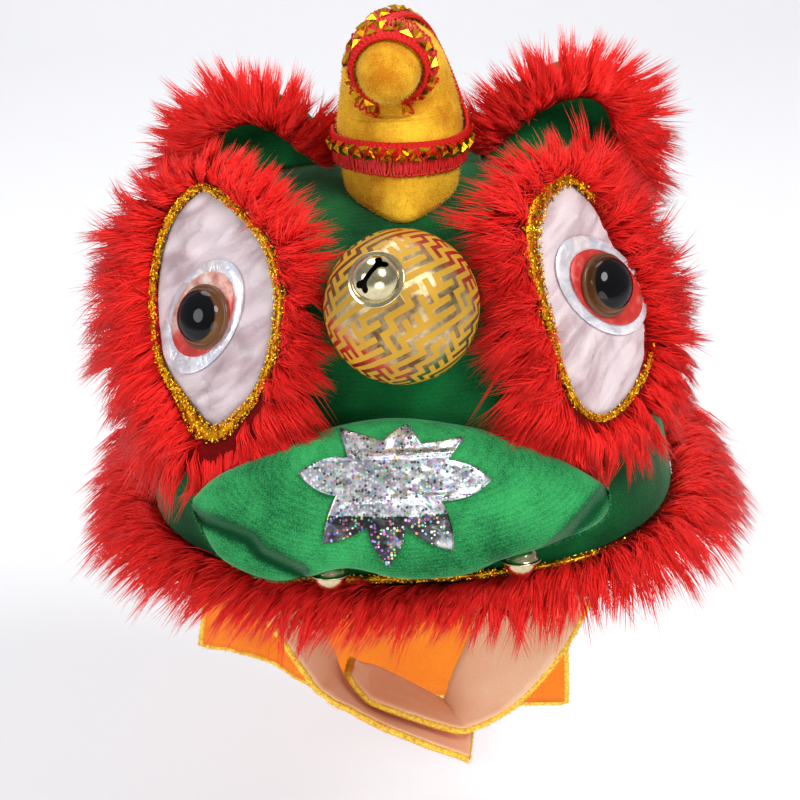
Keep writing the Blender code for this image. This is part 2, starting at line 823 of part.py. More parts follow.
def slot_outline(radius):
    """A bell's slot: a narrow bar with a round hole at each end."""
    half = SLOT_HALF_WIDTH * radius
    end = SLOT_END_RADIUS * radius
    place_of_end = SLOT_END_PLACE * radius
    start = math.asin(half / end)
    points = []
    for side in (1, -1):
        for step in range(SLOT_END_SIDES):
            turn = -math.pi + start + (2 * math.pi - 2 * start) * step / (SLOT_END_SIDES - 1)
            points.append((side * (place_of_end + end * math.cos(turn)), side * end * math.sin(turn)))
    return points


def make_bell(name, centre, facing, slot_way, size):
    """A hollow jingle bell of two domes, with a flange where they meet and a slot in the front dome."""
    radius, flange = size
    across = (slot_way - facing * slot_way.dot(facing)).normalized()
    up = facing.cross(across)

    def at(x, y, height):
        """A point in the bell's own directions."""
        return centre + across * x + up * y + facing * height

    def circle(reach, height):
        """A ring of the bell's body."""
        turns = (2 * math.pi * step / BELL_SIDES for step in range(BELL_SIDES))
        return [at(reach * math.cos(turn), reach * math.sin(turn), height) for turn in turns]

    half = BELL_FLANGE / 2
    domes = [(radius * math.cos(tilt), radius * math.sin(tilt)) for tilt in BELL_TILTS]
    profile = [(reach, -height) for reach, height in domes]
    profile += [(radius, -half), (flange, -half), (flange, half), (radius, half)]
    profile += reversed(domes)
    rings = [circle(reach, height) for reach, height in profile]
    body = piece(name, loft(rings, tips=(at(0, 0, -radius), at(0, 0, radius))), "gilt metal")

    inside = bmesh.new()
    bmesh.ops.create_uvsphere(inside, u_segments=10, v_segments=6, radius=radius - BELL_WALL)
    bmesh.ops.translate(inside, verts=inside.verts, vec=centre)
    outline = slot_outline(radius)
    levels = (0.3 * radius, 1.3 * radius)
    slot = loft([[at(x, y, level) for x, y in outline] for level in levels])
    for part, mesh in (("inside", inside), ("slot", slot)):
        cut = body.modifiers.new(part, "BOOLEAN")
        cut.operation = "DIFFERENCE"
        cut.solver = "EXACT"
        cut.object = helper(f"{name}_{part}", mesh)


def lip_frame():
    """The lip's own directions: up along its face, and out of its face."""
    up = Vector((0, math.sin(LIP_LEAN), math.cos(LIP_LEAN)))
    out = Vector((0, -math.cos(LIP_LEAN), math.sin(LIP_LEAN)))
    return up, out


def seam_pull(across, up):
    """How deep the seam draws in the lip's face at one place."""
    nearest = 1.0
    here = Vector((across, up))
    for start, end in zip(LIP_SEAM, LIP_SEAM[1:]):
        leg = Vector(end) - Vector(start)
        part = min(1.0, max(0.0, (here - Vector(start)).dot(leg) / leg.length_squared))
        nearest = min(nearest, (here - Vector(start) - leg * part).length)
    return LIP_SEAM_DEPTH * math.exp(-((nearest / LIP_SEAM_WIDTH) ** 2))


def make_lip(skin):
    """The stuffed lip: it follows the face across and bulges forward, with its back against the face."""
    up, out = lip_frame()
    rings = []
    for across, top, bottom, depth in spread(LIP_ROWS, LIP_SECTIONS):
        middle = (top + bottom) / 2
        half = (top - bottom) / 2
        set_back = LIP_WRAP * (across / LIP_ROWS[0][0]) ** 2
        back = LIP_BACK * half / (LIP_ROWS[5][1] - LIP_ROWS[5][2]) * 2
        ring = []
        for step in range(LIP_SIDES):
            turn = 2 * math.pi * step / LIP_SIDES
            rise = middle + half * math.copysign(abs(math.cos(turn)) ** 0.85, math.cos(turn))
            thick = depth if math.sin(turn) > 0 else back
            forward = thick * math.copysign(abs(math.sin(turn)) ** 0.8, math.sin(turn)) - set_back
            if math.sin(turn) > 0:
                forward -= seam_pull(across, rise)
            ring.append(LIP_CENTRE + Vector((across, 0, 0)) + up * rise + out * forward)
        rings.append(ring)
    mesh = loft(rings)
    rest_on(mesh, skin)
    return piece("lip", mesh, "green velvet")


def make_star(lip):
    """The foil star, laid on the lip's face."""
    up, out = lip_frame()
    mesh = bmesh.new()
    centre = Vector(STAR_CENTRE)
    rings = []
    for share in STAR_RINGS:
        rim = [centre.lerp(Vector(point), share) for point in STAR_OUTLINE]
        rings.append([on_face(point, up, out, lip) for point in rim])
    inner = bmesh.ops.create_circle(mesh, segments=len(STAR_OUTLINE), radius=1)["verts"]
    edges = mesh.edges[:]
    place(inner, rings[0])
    cap = bmesh.ops.edgeloop_fill(mesh, edges=edges)["faces"]
    bmesh.ops.poke(mesh, faces=cap)["verts"][0].co = on_face(centre, up, out, lip)
    verts = inner
    for ring in rings[1:]:
        verts, edges = grow(mesh, verts, edges)
        place(verts, ring)
    bmesh.ops.recalc_face_normals(mesh, faces=mesh.faces)
    if mesh.faces[:][0].normal.dot(out) < 0:
        bmesh.ops.reverse_faces(mesh, faces=mesh.faces)
    made = open_piece("star_patch", mesh, "silver foil")
    sheet = made.modifiers.new("Foil", "SOLIDIFY")
    sheet.thickness = STAR_THICKNESS
    sheet.offset = 1


def on_face(point, up, out, lip):
    """The place just in front of the lip's face, at one point of its own plane."""
    start = LIP_CENTRE + Vector((point.x, 0, 0)) + up * point.y + out * 0.05
    hit = lip.ray_cast(start, -out)
    return hit[0] + out * STAR_LIFT


def open_piece(name, mesh, finish):
    """A sheet that a modifier thickens: its faces keep the side that they were given."""
    data = bpy.data.meshes.new(name)
    mesh.to_mesh(data)
    mesh.free()
    data.shade_smooth()
    data.materials.append(material(finish))
    made = bpy.data.objects.new(name, data)
    bpy.context.collection.objects.link(made)
    return made


def make_ear(name, skin):
    """A cupped velvet ear. It gives back its surface and its rim."""
    side = EYES[name]["side"]
    rows = spread(EAR_ROWS[name], EAR_STATIONS)
    mesh = bmesh.new()
    bmesh.ops.create_grid(mesh, x_segments=EAR_STATIONS - 1, y_segments=EAR_STEPS, size=1)
    rim = [Vector((rim_x, EAR_RIM_Y, rim_z)) for rim_x, rim_z, _ in rows]
    for vert in mesh.verts:
        station = round((vert.co.x + 1) / 2 * (EAR_STATIONS - 1))
        part = (vert.co.y + 1) / 2
        base = dropped(Vector((rows[station][2], EAR_BASE_Y, 0)), skin, 5 * GAP)
        point = base.lerp(rim[station], part)
        share = station / (EAR_STATIONS - 1)
        depth = EAR_CUP * math.sin(math.pi * share) * math.sin(math.pi * part * EAR_CUP_SPAN)
        vert.co = point + Vector((0, depth, 0))
    rest_on(mesh, skin, EAR_SHEET / 2 + 2 * GAP)
    made = open_piece(f"ear_{name}", mesh, "green velvet")
    sheet = made.modifiers.new("Velvet", "SOLIDIFY")
    sheet.thickness = EAR_SHEET
    sheet.offset = 0
    return side, rim, surface_of(made)


def make_ear_fur(name, side, rim, ear, skin, horn):
    """Fur along the rim of an ear, standing out all round it."""
    scatter = random.Random(f"ear {name}")
    stations = even(rim, 2 * EAR_LOCKS + 1)
    middle = sum(stations, Vector()) / len(stations) - Vector((0, 0, EAR_FUR_REACH))
    rings = []
    for index, point in enumerate(stations):
        along = (stations[min(index + 1, len(stations) - 1)] - stations[max(index - 1, 0)]).normalized()
        way = Vector((-along.z, 0, along.x)) * -side
        way = way if way.dot(point - middle) > 0 else -way
        forward = Vector((0, -1, 0))
        reach = EAR_FUR_REACH * (1 + scatter.uniform(-LOCK_SCATTER, LOCK_SCATTER))
        root = point - way * EAR_FUR_INSET + forward * (EAR_SHEET / 2 + EAR_FUR_HEIGHT / 2 + GAP)
        section = GAP_SECTION if index % 2 else LOCK_SECTION
        sweep = EYE_FUR_SWEEP * scatter.uniform(-1, 1)
        ring = fur_ring(root, way, forward, along, reach, EAR_FUR_HEIGHT, sweep, section)
        while min(clearance(corner, horn) for corner in ring) < EAR_FUR_SPACE and reach > EAR_FUR_SHORTEST:
            reach *= 0.9
            ring = fur_ring(root, way, forward, along, reach, EAR_FUR_HEIGHT, sweep, section)
        rings.append(ring)
    rise_over(rings, Vector((0, -1, 0)), ear)
    mesh = loft(rings)
    rest_on(mesh, skin)
    piece(f"ear_fur_{name}", mesh, "red fur")


def brim_path(height, out, count):
    """Points round the rim at one level, from the left side past the front to the right side."""
    start, end = BRIM_SPAN
    row = head_row(height)
    fine = [head_point(row, start + (end - start) * step / 240, out) for step in range(241)]
    return even(fine, count)


def sideways(path, index):
    """The level direction away from the head, at one point of a path round it."""
    along = (path[min(index + 1, len(path) - 1)] - path[max(index - 1, 0)]).normalized()
    return Vector((along.y, -along.x, 0)), along


def make_brim_tinsel():
    """A gold cord round the front of the rim."""
    path = brim_path(BRIM_TINSEL_HEIGHT, BRIM_TINSEL_RADIUS + GAP, BRIM_TINSEL_STEPS)
    rings = []
    for index, point in enumerate(path):
        way, _ = sideways(path, index)
        turns = (2 * math.pi * step / TINSEL_SIDES for step in range(TINSEL_SIDES))
        rings.append(
            [point + (way * math.cos(t) + Vector((0, 0, math.sin(t)))) * BRIM_TINSEL_RADIUS for t in turns]
        )
    piece("brim_tinsel", loft(rings), "gold tinsel")


def make_brim_fur():
    """Long fur round the rim. It hangs outwards and down, and further at the sides than in front."""
    scatter = random.Random("brim")
    path = brim_path(BRIM_FUR_HEIGHT, GAP, 2 * BRIM_LOCKS + 1)
    side_reach, front_reach = BRIM_FUR_REACH
    rings = []
    for index, point in enumerate(path):
        way, along = sideways(path, index)
        reach = side_reach * abs(way.x) + front_reach * (1 - abs(way.x))
        reach *= 1 + scatter.uniform(-LOCK_SCATTER, LOCK_SCATTER)
        section = GAP_SECTION if index % 2 else LOCK_SECTION
        sweep = EYE_FUR_SWEEP * scatter.uniform(-1, 1)
        fall = (way - Vector((0, 0, BRIM_FUR_FALL))).normalized()
        lift = Vector((0, 0, 1))
        ring = fur_ring(point, fall, lift, along, reach, BRIM_FUR_THICKNESS, sweep, section)
        rings.append(ring)
    piece("brim_fur", loft(rings), "red fur")


def strap_band(rows, inner, low, high):
    """A strap's layer between two heights over its own middle surface."""
    sections = spread(rows, STRAP_STEPS)
    rings = []
    for index, section in enumerate(sections):
        near, far = Vector(section[:3]), Vector(section[3:])
        before = sections[max(index - 1, 0)]
        after = sections[min(index + 1, len(sections) - 1)]
        lines = []
        for part in (step / STRAP_ACROSS for step in range(STRAP_ACROSS + 1)):
            ends = [Vector(row[:3]).lerp(Vector(row[3:]), part) for row in (before, after)]
            normal = (ends[1] - ends[0]).cross(far - near).normalized() * inner
            lines.append((near.lerp(far, part), normal))
        ring = [point + normal * low for point, normal in lines]
        ring += [point + normal * high for point, normal in reversed(lines)]
        rings.append(ring)
    return loft(rings)


def make_straps():
    """Two straps, each an outer layer and a lining, which meet below the chin."""
    for name, strap in STRAPS.items():
        outer = strap_band(strap["rows"], strap["inner"], -STRAP_THICKNESS, 0.0)
        piece(f"strap_{name}", outer, "orange satin")
        lining = strap_band(strap["rows"], strap["inner"], LINING_GAP, LINING_GAP + LINING_THICKNESS)
        piece(f"strap_lining_{name}", lining, "grey-pink lining")


def inside_of(head, point, away):
    """The place a little inside the head's back wall, straight behind a point."""
    wall = head.ray_cast(point, Vector((0, 1, 0)))[0]
    return wall - Vector((0, away, 0))


def make_cape(head):
    """The cape hangs from inside the back of the rim and waves gently towards its bottom edge."""
    rings = []
    for index, (top_x, bottom_x, bottom_z) in enumerate(spread(CAPE_ROWS, CAPE_ACROSS)):
        share = index / (CAPE_ACROSS - 1)
        away = CAPE_THICKNESS + CAPE_GAP
        top, rim = (inside_of(head, Vector((top_x, 0, level)), away) for level in (CAPE_TOP, CAPE_RIM))
        rim = Vector((rim.x, min(top.y, rim.y), HEAD_ROWS[0][0] - GAP))
        bottom = Vector((bottom_x, CAPE_BOTTOM_Y, bottom_z))
        line = [Vector((top.x, rim.y, top.z))]
        for step in range(CAPE_DOWN):
            down = step / (CAPE_DOWN - 1)
            wave = CAPE_WAVE * math.sin(2 * math.pi * CAPE_WAVES * share + 2 * down) * down
            line.append(rim.lerp(bottom, down) + Vector((0, wave, 0)))
        back = [point + Vector((0, CAPE_THICKNESS, 0)) for point in reversed(line)]
        rings.append(line + back)
    piece("cape", loft(rings), "orange satin")


def clear_scene():
    for old in list(bpy.data.objects):
        bpy.data.objects.remove(old)


def main():
    clear_scene()
    skin, head = make_head()
    horn = surface_of(make_horn(skin))
    make_braid(horn)
    ball = surface_of(make_ball(skin))
    bell_centre = BALL_CENTRE + NOSE_BELL_FACING * (BALL_RADIUS + NOSE_BELL[0] + GAP)
    make_bell("nose_bell", bell_centre, NOSE_BELL_FACING, Vector((1, 0.6, 1)), NOSE_BELL)
    lip = surface_of(make_lip(skin))
    make_star(lip)
    for name, centre in LIP_BELLS.items():
        make_bell(name, centre, Vector((0, -0.2, -1)).normalized(), Vector((1, 0, 0)), LIP_BELL)
    for name, eye in EYES.items():
        frame = EYE_FRAMES[name]
        make_panel(f"eye_panel_{name}", frame, round_outline(eye["outline"], TINSEL_STEPS))
        make_dome(name, frame, eye, make_foils(name, frame, eye))
        make_eye_tinsel(name, frame, eye)
        make_eye_fur(name, frame, eye, lip, ball)
        side, rim, ear = make_ear(name, skin)
        make_ear_fur(name, side, rim, ear, skin, horn)
    make_brim_tinsel()
    make_brim_fur()
    make_straps()
    make_cape(head)


main()
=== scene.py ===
"""Dresses the frame of a lion dance costume for a small pet: velvet, fur, satin, foil, braid and bells.

Lengths are in metres, +Z is up and the face looks towards -Y. The frame gives each piece its place, and
the tables below give the shapes of the soft pieces that cover it.
"""

import math
from itertools import accumulate
from types import SimpleNamespace

import bmesh
import bpy
import numpy as np
from mathutils import Matrix, Vector, noise
from mathutils.bvhtree import BVHTree


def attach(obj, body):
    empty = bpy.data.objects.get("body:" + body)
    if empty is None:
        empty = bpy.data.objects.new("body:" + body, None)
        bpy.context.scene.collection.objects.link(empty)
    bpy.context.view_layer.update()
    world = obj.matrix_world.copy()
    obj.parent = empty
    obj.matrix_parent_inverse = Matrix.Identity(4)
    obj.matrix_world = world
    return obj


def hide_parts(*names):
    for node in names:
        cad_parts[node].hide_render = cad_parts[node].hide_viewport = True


bl_info = {
    "name": "Lion Dance Pet Costume",
    "version": (1, 0, 0),
    "blender": (4, 5, 0),
    "location": "3D View > Sidebar > Lion Costume",
    "description": "Dresses a lion dance costume for a small pet in velvet, fur, satin, foil and braid",
    "category": "Object",
}

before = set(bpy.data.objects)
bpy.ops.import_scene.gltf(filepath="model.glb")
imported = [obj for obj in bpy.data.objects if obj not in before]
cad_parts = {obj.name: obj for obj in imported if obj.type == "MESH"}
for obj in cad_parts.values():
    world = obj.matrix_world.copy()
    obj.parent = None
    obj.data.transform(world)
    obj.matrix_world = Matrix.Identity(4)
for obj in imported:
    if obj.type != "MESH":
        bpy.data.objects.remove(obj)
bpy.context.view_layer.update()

# Camera: where it looks, how far it stands off, how far it looks down and how far it rolls
LOOK_AT = Vector((0.0, -0.070, -0.046))
CAMERA_DISTANCE = 0.65
CAMERA_DOWN = math.radians(27.0)
CAMERA_ROLL = math.radians(2.0)
CAMERA_LENS = 93.6

# Head: a row for each level from the rim up to the crown
WALL = 0.0045
CROWN_TOP = 0.0045
HEAD_ROWS = (
    # height, left, right, front, back, squareness
    (-0.112, 0.086, 0.095, 0.080, 0.072, 2.6),
    (-0.098, 0.087, 0.093, 0.080, 0.073, 2.7),
    (-0.075, 0.087, 0.088, 0.0785, 0.0745, 2.8),
    (-0.045, 0.085, 0.085, 0.076, 0.073, 2.8),
    (-0.022, 0.081, 0.080, 0.070, 0.067, 2.7),
    (-0.008, 0.071, 0.070, 0.059, 0.057, 2.6),
    (0.000, 0.052, 0.051, 0.042, 0.042, 2.4),
    (0.0035, 0.026, 0.026, 0.023, 0.023, 2.2),
)

# Eyes: the plane of each, and the outlines of what is sewn on it, across and up in that plane
EYE_CENTRE = Vector((0.0605, -0.047, -0.025))
EYE_FACING = Vector((0.595, -0.684, 0.423)).normalized()
EYE_BED = 0.0045
EYES = {
    "left": {
        "side": -1,
        "outline": (
            (-0.0128, 0.0370), (0.0018, 0.0331), (0.0161, 0.0251), (0.0249, 0.0112), (0.0275, -0.0040),
            (0.0262, -0.0165), (0.0209, -0.0255), (0.0125, -0.0322), (0.0016, -0.0280), (-0.0124, -0.0199),
            (-0.0208, -0.0070), (-0.0250, 0.0087), (-0.0244, 0.0238), (-0.0190, 0.0335),
        ),
        # across, up, half length, half width, lean in degrees
        "foil": (-0.0010, -0.0010, 0.0205, 0.0140, 65),
        "ring": (-0.0005, 0.0, 0.0150, 0.0112, 65),
        # across, up, radius
        "dome": (0.0012, -0.0005, 0.0104),
        # reach of the fur: away from the nose, up, towards the nose, down; and its lean in degrees
        "fur": (0.034, 0.0115, 0.024, 0.024),
        "fur_lean": 20,
        # where the fur lies over the tinsel: place in degrees, spread in degrees, how far
        "cover": (205, 40, 1.0),
        # bunches of the tinsel: place in degrees round the eye, extra width, spread in degrees
        "bunches": ((-72, 0.0040, 18), (20, 0.0024, 50), (170, -0.0001, 50)),
    },
    "right": {
        "side": 1,
        "outline": (
            (0.0081, 0.0359), (0.0150, 0.0290), (0.0190, 0.0200), (0.0225, 0.0090), (0.0245, -0.0033),
            (0.0226, -0.0167), (0.0142, -0.0277), (0.0013, -0.0343), (-0.0088, -0.0348), (-0.0153, -0.0279),
            (-0.0168, -0.0157), (-0.0152, -0.0030), (-0.0134, 0.0130), (-0.0086, 0.0264), (-0.0010, 0.0335),
        ),
        "foil": (0.0075, 0.0030, 0.0205, 0.0138, 131),
        "ring": (0.0085, 0.0020, 0.0160, 0.0108, 134),
        "dome": (0.0078, 0.0028, 0.0104),
        "fur": (0.028, 0.016, 0.030, 0.022),
        "fur_lean": 0,
        "cover": (0, 55, 3.2),
        "bunches": ((104, 0.0054, 34), (175, 0.0022, 50), (0, -0.0014, 50), (-90, -0.0006, 40)),
    },
}
TINSEL_WIDTH = 0.0026
DOME_PROFILE = (
    # share of the radius, height
    (1.0, 0.0), (1.0, 0.0007), (0.965, 0.0012), (0.91, 0.0012), (0.88, 0.0020),
    (0.84, 0.0032), (0.74, 0.0045), (0.58, 0.0056), (0.38, 0.0063), (0.18, 0.0067),
)
DOME_TOP = 0.0068

# Horn: a row for each section, bent forward over the brow
HORN_BASE = (0.0030, -0.0125, 0.0222)
HORN_ROWS = (
    # x, y, z, radius
    (0.0030, -0.0105, 0.0120, 0.0216),
    (0.0030, -0.0077, 0.0205, 0.0208),
    (0.0028, -0.0060, 0.0295, 0.0194),
    (0.0022, -0.0082, 0.0384, 0.0175),
    (0.0014, -0.0145, 0.0448, 0.0156),
    (0.0006, -0.0235, 0.0480, 0.0120),
    (0.0000, -0.0298, 0.0476, 0.0099),
    (-0.0004, -0.0350, 0.0462, 0.0085),
    (-0.0006, -0.0388, 0.0444, 0.0058),
)
HORN_TIP = (-0.0006, -0.0401, 0.0436)
BRAID_WIDTH = 0.0092
BRAID_ROWS = (
    # turn in degrees, 0 at the right and 90 at the back; place along the horn's rows
    (170, 0.90), (265, 0.20), (345, 0.60), (385, 1.70), (412, 3.00), (435, 4.10), (468, 4.95), (495, 5.25),
)
RING_ROWS = ((288, 5.45), (370, 5.45), (450, 5.45), (530, 5.45), (612, 5.45))

# Nose ball and bells
BALL_CENTRE = Vector((0.0015, -0.080, -0.0095))
BALL_RADIUS = 0.0235
NOSE_BELL_FACING = Vector((-0.23, -0.745, 0.625)).normalized()
NOSE_BELL = (0.0070, 0.0085)
LIP_BELL = (0.0056, 0.0068)
LIP_BELLS = {
    "bell_left": Vector((-0.0240, -0.0900, -0.0958)),
    "bell_right": Vector((0.0362, -0.0887, -0.0940)),
}

# Lip: a stuffed cushion, a row for each section across; up leans back by LIP_LEAN
LIP_CENTRE = Vector((0.0, -0.0925, -0.0690))
LIP_LEAN = math.radians(27)
LIP_WRAP = 0.0120
LIP_BACK = 0.0150
LIP_ROWS = (
    # across, top, bottom, front depth
    (-0.0660, 0.0020, -0.0030, 0.0020),
    (-0.0580, 0.0088, -0.0165, 0.0070),
    (-0.0425, 0.0155, -0.0240, 0.0090),
    (-0.0315, 0.0195, -0.0232, 0.0095),
    (-0.0180, 0.0237, -0.0205, 0.0098),
    (-0.0010, 0.0252, -0.0243, 0.0100),
    (0.0180, 0.0224, -0.0238, 0.0098),
    (0.0300, 0.0189, -0.0196, 0.0095),
    (0.0480, 0.0110, -0.0152, 0.0088),
    (0.0600, 0.0040, -0.0105, 0.0060),
    (0.0645, 0.0000, -0.0062, 0.0022),
)
LIP_SEAMS = (
    # line across the face, depth of the seam, how far the roll below it is set back
    (((-0.066, -0.003), (-0.048, -0.010), (-0.044, -0.015), (-0.032, -0.021)), 0.0046, 0.0036),
    (((0.043, -0.019), (0.052, -0.011), (0.064, 0.001)), 0.0032, 0.0026),
)

# Star on the lip: tips and the notches between them, across and up on the lip's face
STAR_OUTLINE = (
    (-0.0317, 0.0096), (-0.0164, 0.0139), (-0.0188, 0.0228), (-0.0057, 0.0184),
    (0.0016, 0.0234), (0.0059, 0.0173), (0.0196, 0.0190), (0.0139, 0.0121),
    (0.0270, 0.0054), (0.0117, -0.0003), (0.0148, -0.0156), (0.0005, -0.0081),
    (-0.0053, -0.0200), (-0.0114, -0.0077), (-0.0250, -0.0122), (-0.0204, 0.0023),
)
STAR_CENTRE = (-0.0035, 0.0050)
STAR_CREASES = (0.0142, 0.0012)

# Ears: a row for each station from the horn side outwards
EAR_SHEET = 0.0025
EAR_CUP = 0.0120
EAR_CUP_SPAN = 0.8
EAR_RIM_Y = 0.012
EAR_BASE_Y = 0.006
EAR_ROWS = {
    # rim x, rim z, base x
    "left": (
        (-0.0190, 0.0105, -0.0225),
        (-0.0310, 0.0215, -0.0320),
        (-0.0445, 0.0280, -0.0430),
        (-0.0570, 0.0260, -0.0530),
        (-0.0660, 0.0180, -0.0610),
        (-0.0700, 0.0060, -0.0665),
        (-0.0705, -0.0050, -0.0700),
    ),
    "right": (
        (0.0275, 0.0125, 0.0300),
        (0.0405, 0.0245, 0.0400),
        (0.0550, 0.0320, 0.0500),
        (0.0695, 0.0325, 0.0600),
        (0.0800, 0.0235, 0.0680),
        (0.0835, 0.0085, 0.0725),
        (0.0820, -0.0040, 0.0750),
    ),
}

# Brim: tinsel and fur round the rim, from the left side past the front to the right side
BRIM_SPAN = (math.radians(160), math.radians(380))
BRIM_TINSEL_HEIGHT = -0.1040
BRIM_FUR_HEIGHT = -0.1066
BRIM_FUR_REACH = (0.0300, 0.0225)

# Straps: a row for each section, the near edge and then the far edge
STRAPS = {
    # the side of the lining, and rows of near x, y, z, far x, y, z
    "left": (1, (
        (-0.0716, -0.047, -0.0985, -0.0797, -0.014, -0.0985),
        (-0.0675, -0.048, -0.1110, -0.0735, -0.015, -0.1120),
        (-0.0470, -0.050, -0.1405, -0.0460, -0.019, -0.1415),
        (-0.0340, -0.051, -0.1645, -0.0318, -0.023, -0.1620),
        (-0.0283, -0.052, -0.1705, -0.0285, -0.026, -0.1680),
        (-0.0207, -0.052, -0.1760, -0.0252, -0.029, -0.1765),
        (-0.0130, -0.052, -0.1815, -0.0190, -0.030, -0.1850),
        (0.0045, -0.052, -0.1912, 0.0030, -0.030, -0.1950),
        (0.0193, -0.050, -0.2000, 0.0213, -0.030, -0.2030),
    )),
    "right": (-1, (
        (0.0771, -0.047, -0.0985, 0.0860, -0.012, -0.0985),
        (0.0735, -0.046, -0.1110, 0.0800, -0.013, -0.1120),
        (0.0571, -0.045, -0.1520, 0.0330, -0.018, -0.1500),
        (0.0431, -0.045, -0.1740, 0.0206, -0.021, -0.1737),
        (0.0339, -0.045, -0.1834, 0.0158, -0.021, -0.1862),
        (0.0236, -0.045, -0.1895, 0.0141, -0.021, -0.1930),
        (0.0147, -0.045, -0.1908, 0.0100, -0.021, -0.1950),
        (-0.0108, -0.045, -0.1794, -0.0107, -0.021, -0.1810),
        (-0.0170, -0.043, -0.1758, -0.0165, -0.024, -0.1768),
        (-0.0216, -0.040, -0.1690, -0.0205, -0.028, -0.1715),
    )),
}

# Cape: a row for each place across
CAPE_THICKNESS = 0.0015
CAPE_TOP = -0.0990
CAPE_RIM = -0.1115
CAPE_GAP = 0.0020
CAPE_BOTTOM_Y = 0.0620
CAPE_WAVE = 0.0030
CAPE_WAVES = 2.5
CAPE_ROWS = (
    # x at the top, x at the bottom, height of the bottom
    (-0.0660, -0.0850, -0.2245),
    (-0.0600, -0.0700, -0.2235),
    (-0.0530, -0.0580, -0.2325),
    (-0.0400, -0.0427, -0.2415),
    (-0.0100, -0.0100, -0.2500),
    (0.0250, 0.0250, -0.2545),
    (0.0620, 0.0645, -0.2555),
)

# Steps of the finer shapes
HEAD_TURNS = 96
HEAD_LEVELS = 44
PANEL_TURNS = 120
OVAL_TURNS = 72
SPIN_STEPS = 48
HORN_TURNS = 64
HORN_LEVELS = 60
LIP_LEVELS = 120
LIP_TURNS = 80
EAR_ACROSS = 44
EAR_UP = 18
STRAP_LEVELS = 60
STRAP_ACROSS = 12
CAPE_ACROSS = 72
CAPE_DOWN = 26

# Finer sizes of the lip and its star
LIP_SEAM_WIDTH = 0.0018
LIP_PUCKER = 0.0009
STAR_SIDE_STEPS = 6
STAR_BOWS = (0.11, 0.01, 0.06, 0.0, 0.11, 0.07, 0.07, 0.06)
STAR_RINGS = 24
STAR_LIFT = 0.0011
STAR_RIDGE = 0.0013
STAR_CRUMPLE = 0.0005

# Finer sizes of the horn's foot and braid
HORN_POINT = 0.0045
HORN_NARROW = 0.10
HORN_TAPER = 0.10
HORN_FOOT_WIDTH = 0.92
HORN_NARROW_ROWS = 1.6
HORN_POINT_SPREAD = 26
BRAID_LIFT = 0.0012
BRAID_STEPS = (520, 260)
BRAID_RIB = 0.0015
PICOT_WIDTH = 0.0017
PICOT_LENGTH = 0.0060
PICOT_THREAD = 0.00040
PICOT_PITCH = 0.0010
SPANGLE_LENGTH = 0.0044
SPANGLE_WIDTH = 0.0036
SPANGLE_HEIGHT = 0.0013
SPANGLE_PITCH = 0.0023
SPANGLE_STEP = 0.0003

# The ball's fret: the way its front faces, its lean in degrees and the pitch of its lines
FRET_FACING = Vector((0, -0.89, 0.46)).normalized()
FRET_LEAN = 28
FRET_PITCH = 0.0038
FRET_SHARE = 0.70

# Middle of the left red ring, across and up in the room: its painted reflection fades out towards the lower right
# of it
PAINTED_REFLECTION_MIDDLE = (-0.0632, -0.0222)

# The side of the plastic eyes towards which their brown is painted lighter, as painted light
LOWER_RIGHT = Vector((0.6, 0.0, -0.8))

# Bells: wall, flange, and a quarter of the bone-shaped slot as shares of the radius
BELL_WALL = 0.0007
BELL_FLANGE = 0.0007
SLOT = (
    (0.0, 0.10), (0.34, 0.11), (0.48, 0.17), (0.56, 0.29), (0.68, 0.31), (0.78, 0.23), (0.77, 0.11), (0.71, 0.03),
)

# Rings of the satin panels from their edge to their middle, and the hem below the tinsel
PANEL_RINGS = 24
PANEL_HEM = 0.0026

# How far below a surface a strand may be found
FUR_LOOK = 0.012

# How each fur is cut: the angles of its inner and outer strands, their lengths as shares of the reach, how far
# a lock draws them together, how much its distance along the band counts, their droop, the number of locks, and
# the comb: places along the band, and how far the strands lean along it there
EYE_CUT = SimpleNamespace(
    inner=1.05, outer=0.12, short=0.52, long=0.82, pull=0.0026, spacing=0.30, droop=-0.30, locks=460,
    comb=((0, 1), (0, 0)),
)
EAR_CUT = SimpleNamespace(
    inner=1.20, outer=0.10, short=0.50, long=0.88, pull=0.0028, spacing=0.35, droop=0.10, locks=260,
    comb=((0.0, 0.35, 1.0), (-0.45, 0.25, 0.75)),
)
BRIM_CUT = SimpleNamespace(
    inner=1.15, outer=-0.25, short=0.60, long=0.90, pull=0.0028, spacing=0.30, droop=-0.30, locks=760,
    comb=((0.0, 0.30, 0.62, 0.80, 1.0), (-0.45, -0.65, -0.60, 0.30, 0.45)),
)

# The dense pile below the strands, as shares of the reach and of the height
BED_SECTIONS = ((0.02, -0.40), (0.02, -0.02), (0.14, 0.18), (0.34, 0.16), (0.46, -0.10), (0.36, -0.38))

# Strands: places along them and shares of their width there, and the lean of the short pile
FUR_STOPS = ((0.0, 1.0), (0.55, 0.80), (1.0, 0.0))
NAP_LEAN = (0.0, -0.10, -0.35)
FUZZ_STOPS = ((0.0, 1.0), (1.0, 0.0))

# Heights, reaches and places of the three furs, and the tinsel cord over the brim
EYE_FUR_HEIGHT = 0.0075
EAR_FUR_REACH = 0.0215
EAR_FUR_INSET = 0.0090
EAR_FUR_HEIGHT = 0.0080
BRIM_TINSEL_RADIUS = 0.0014
BRIM_FUR_THICKNESS = 0.0062
BRIM_FUR_FALL = 0.42
BRIM_FUR_COVER = 0.0044

# Layers of the straps, and the radius of the bound edges
STRAP_THICKNESS = 0.0013
LINING_THICKNESS = 0.0008
LINING_GAP = 0.0009
EDGE_RADIUS = 0.0011

# Ribs of the green velvet, in turns of a wave for each metre
VELVET_RIBS = 2 * math.pi / 0.0010

# Dots of the holographic foil in a metre, and the line of the ball where its fret starts
FOIL_DOTS = 1050
FRET_START = 40

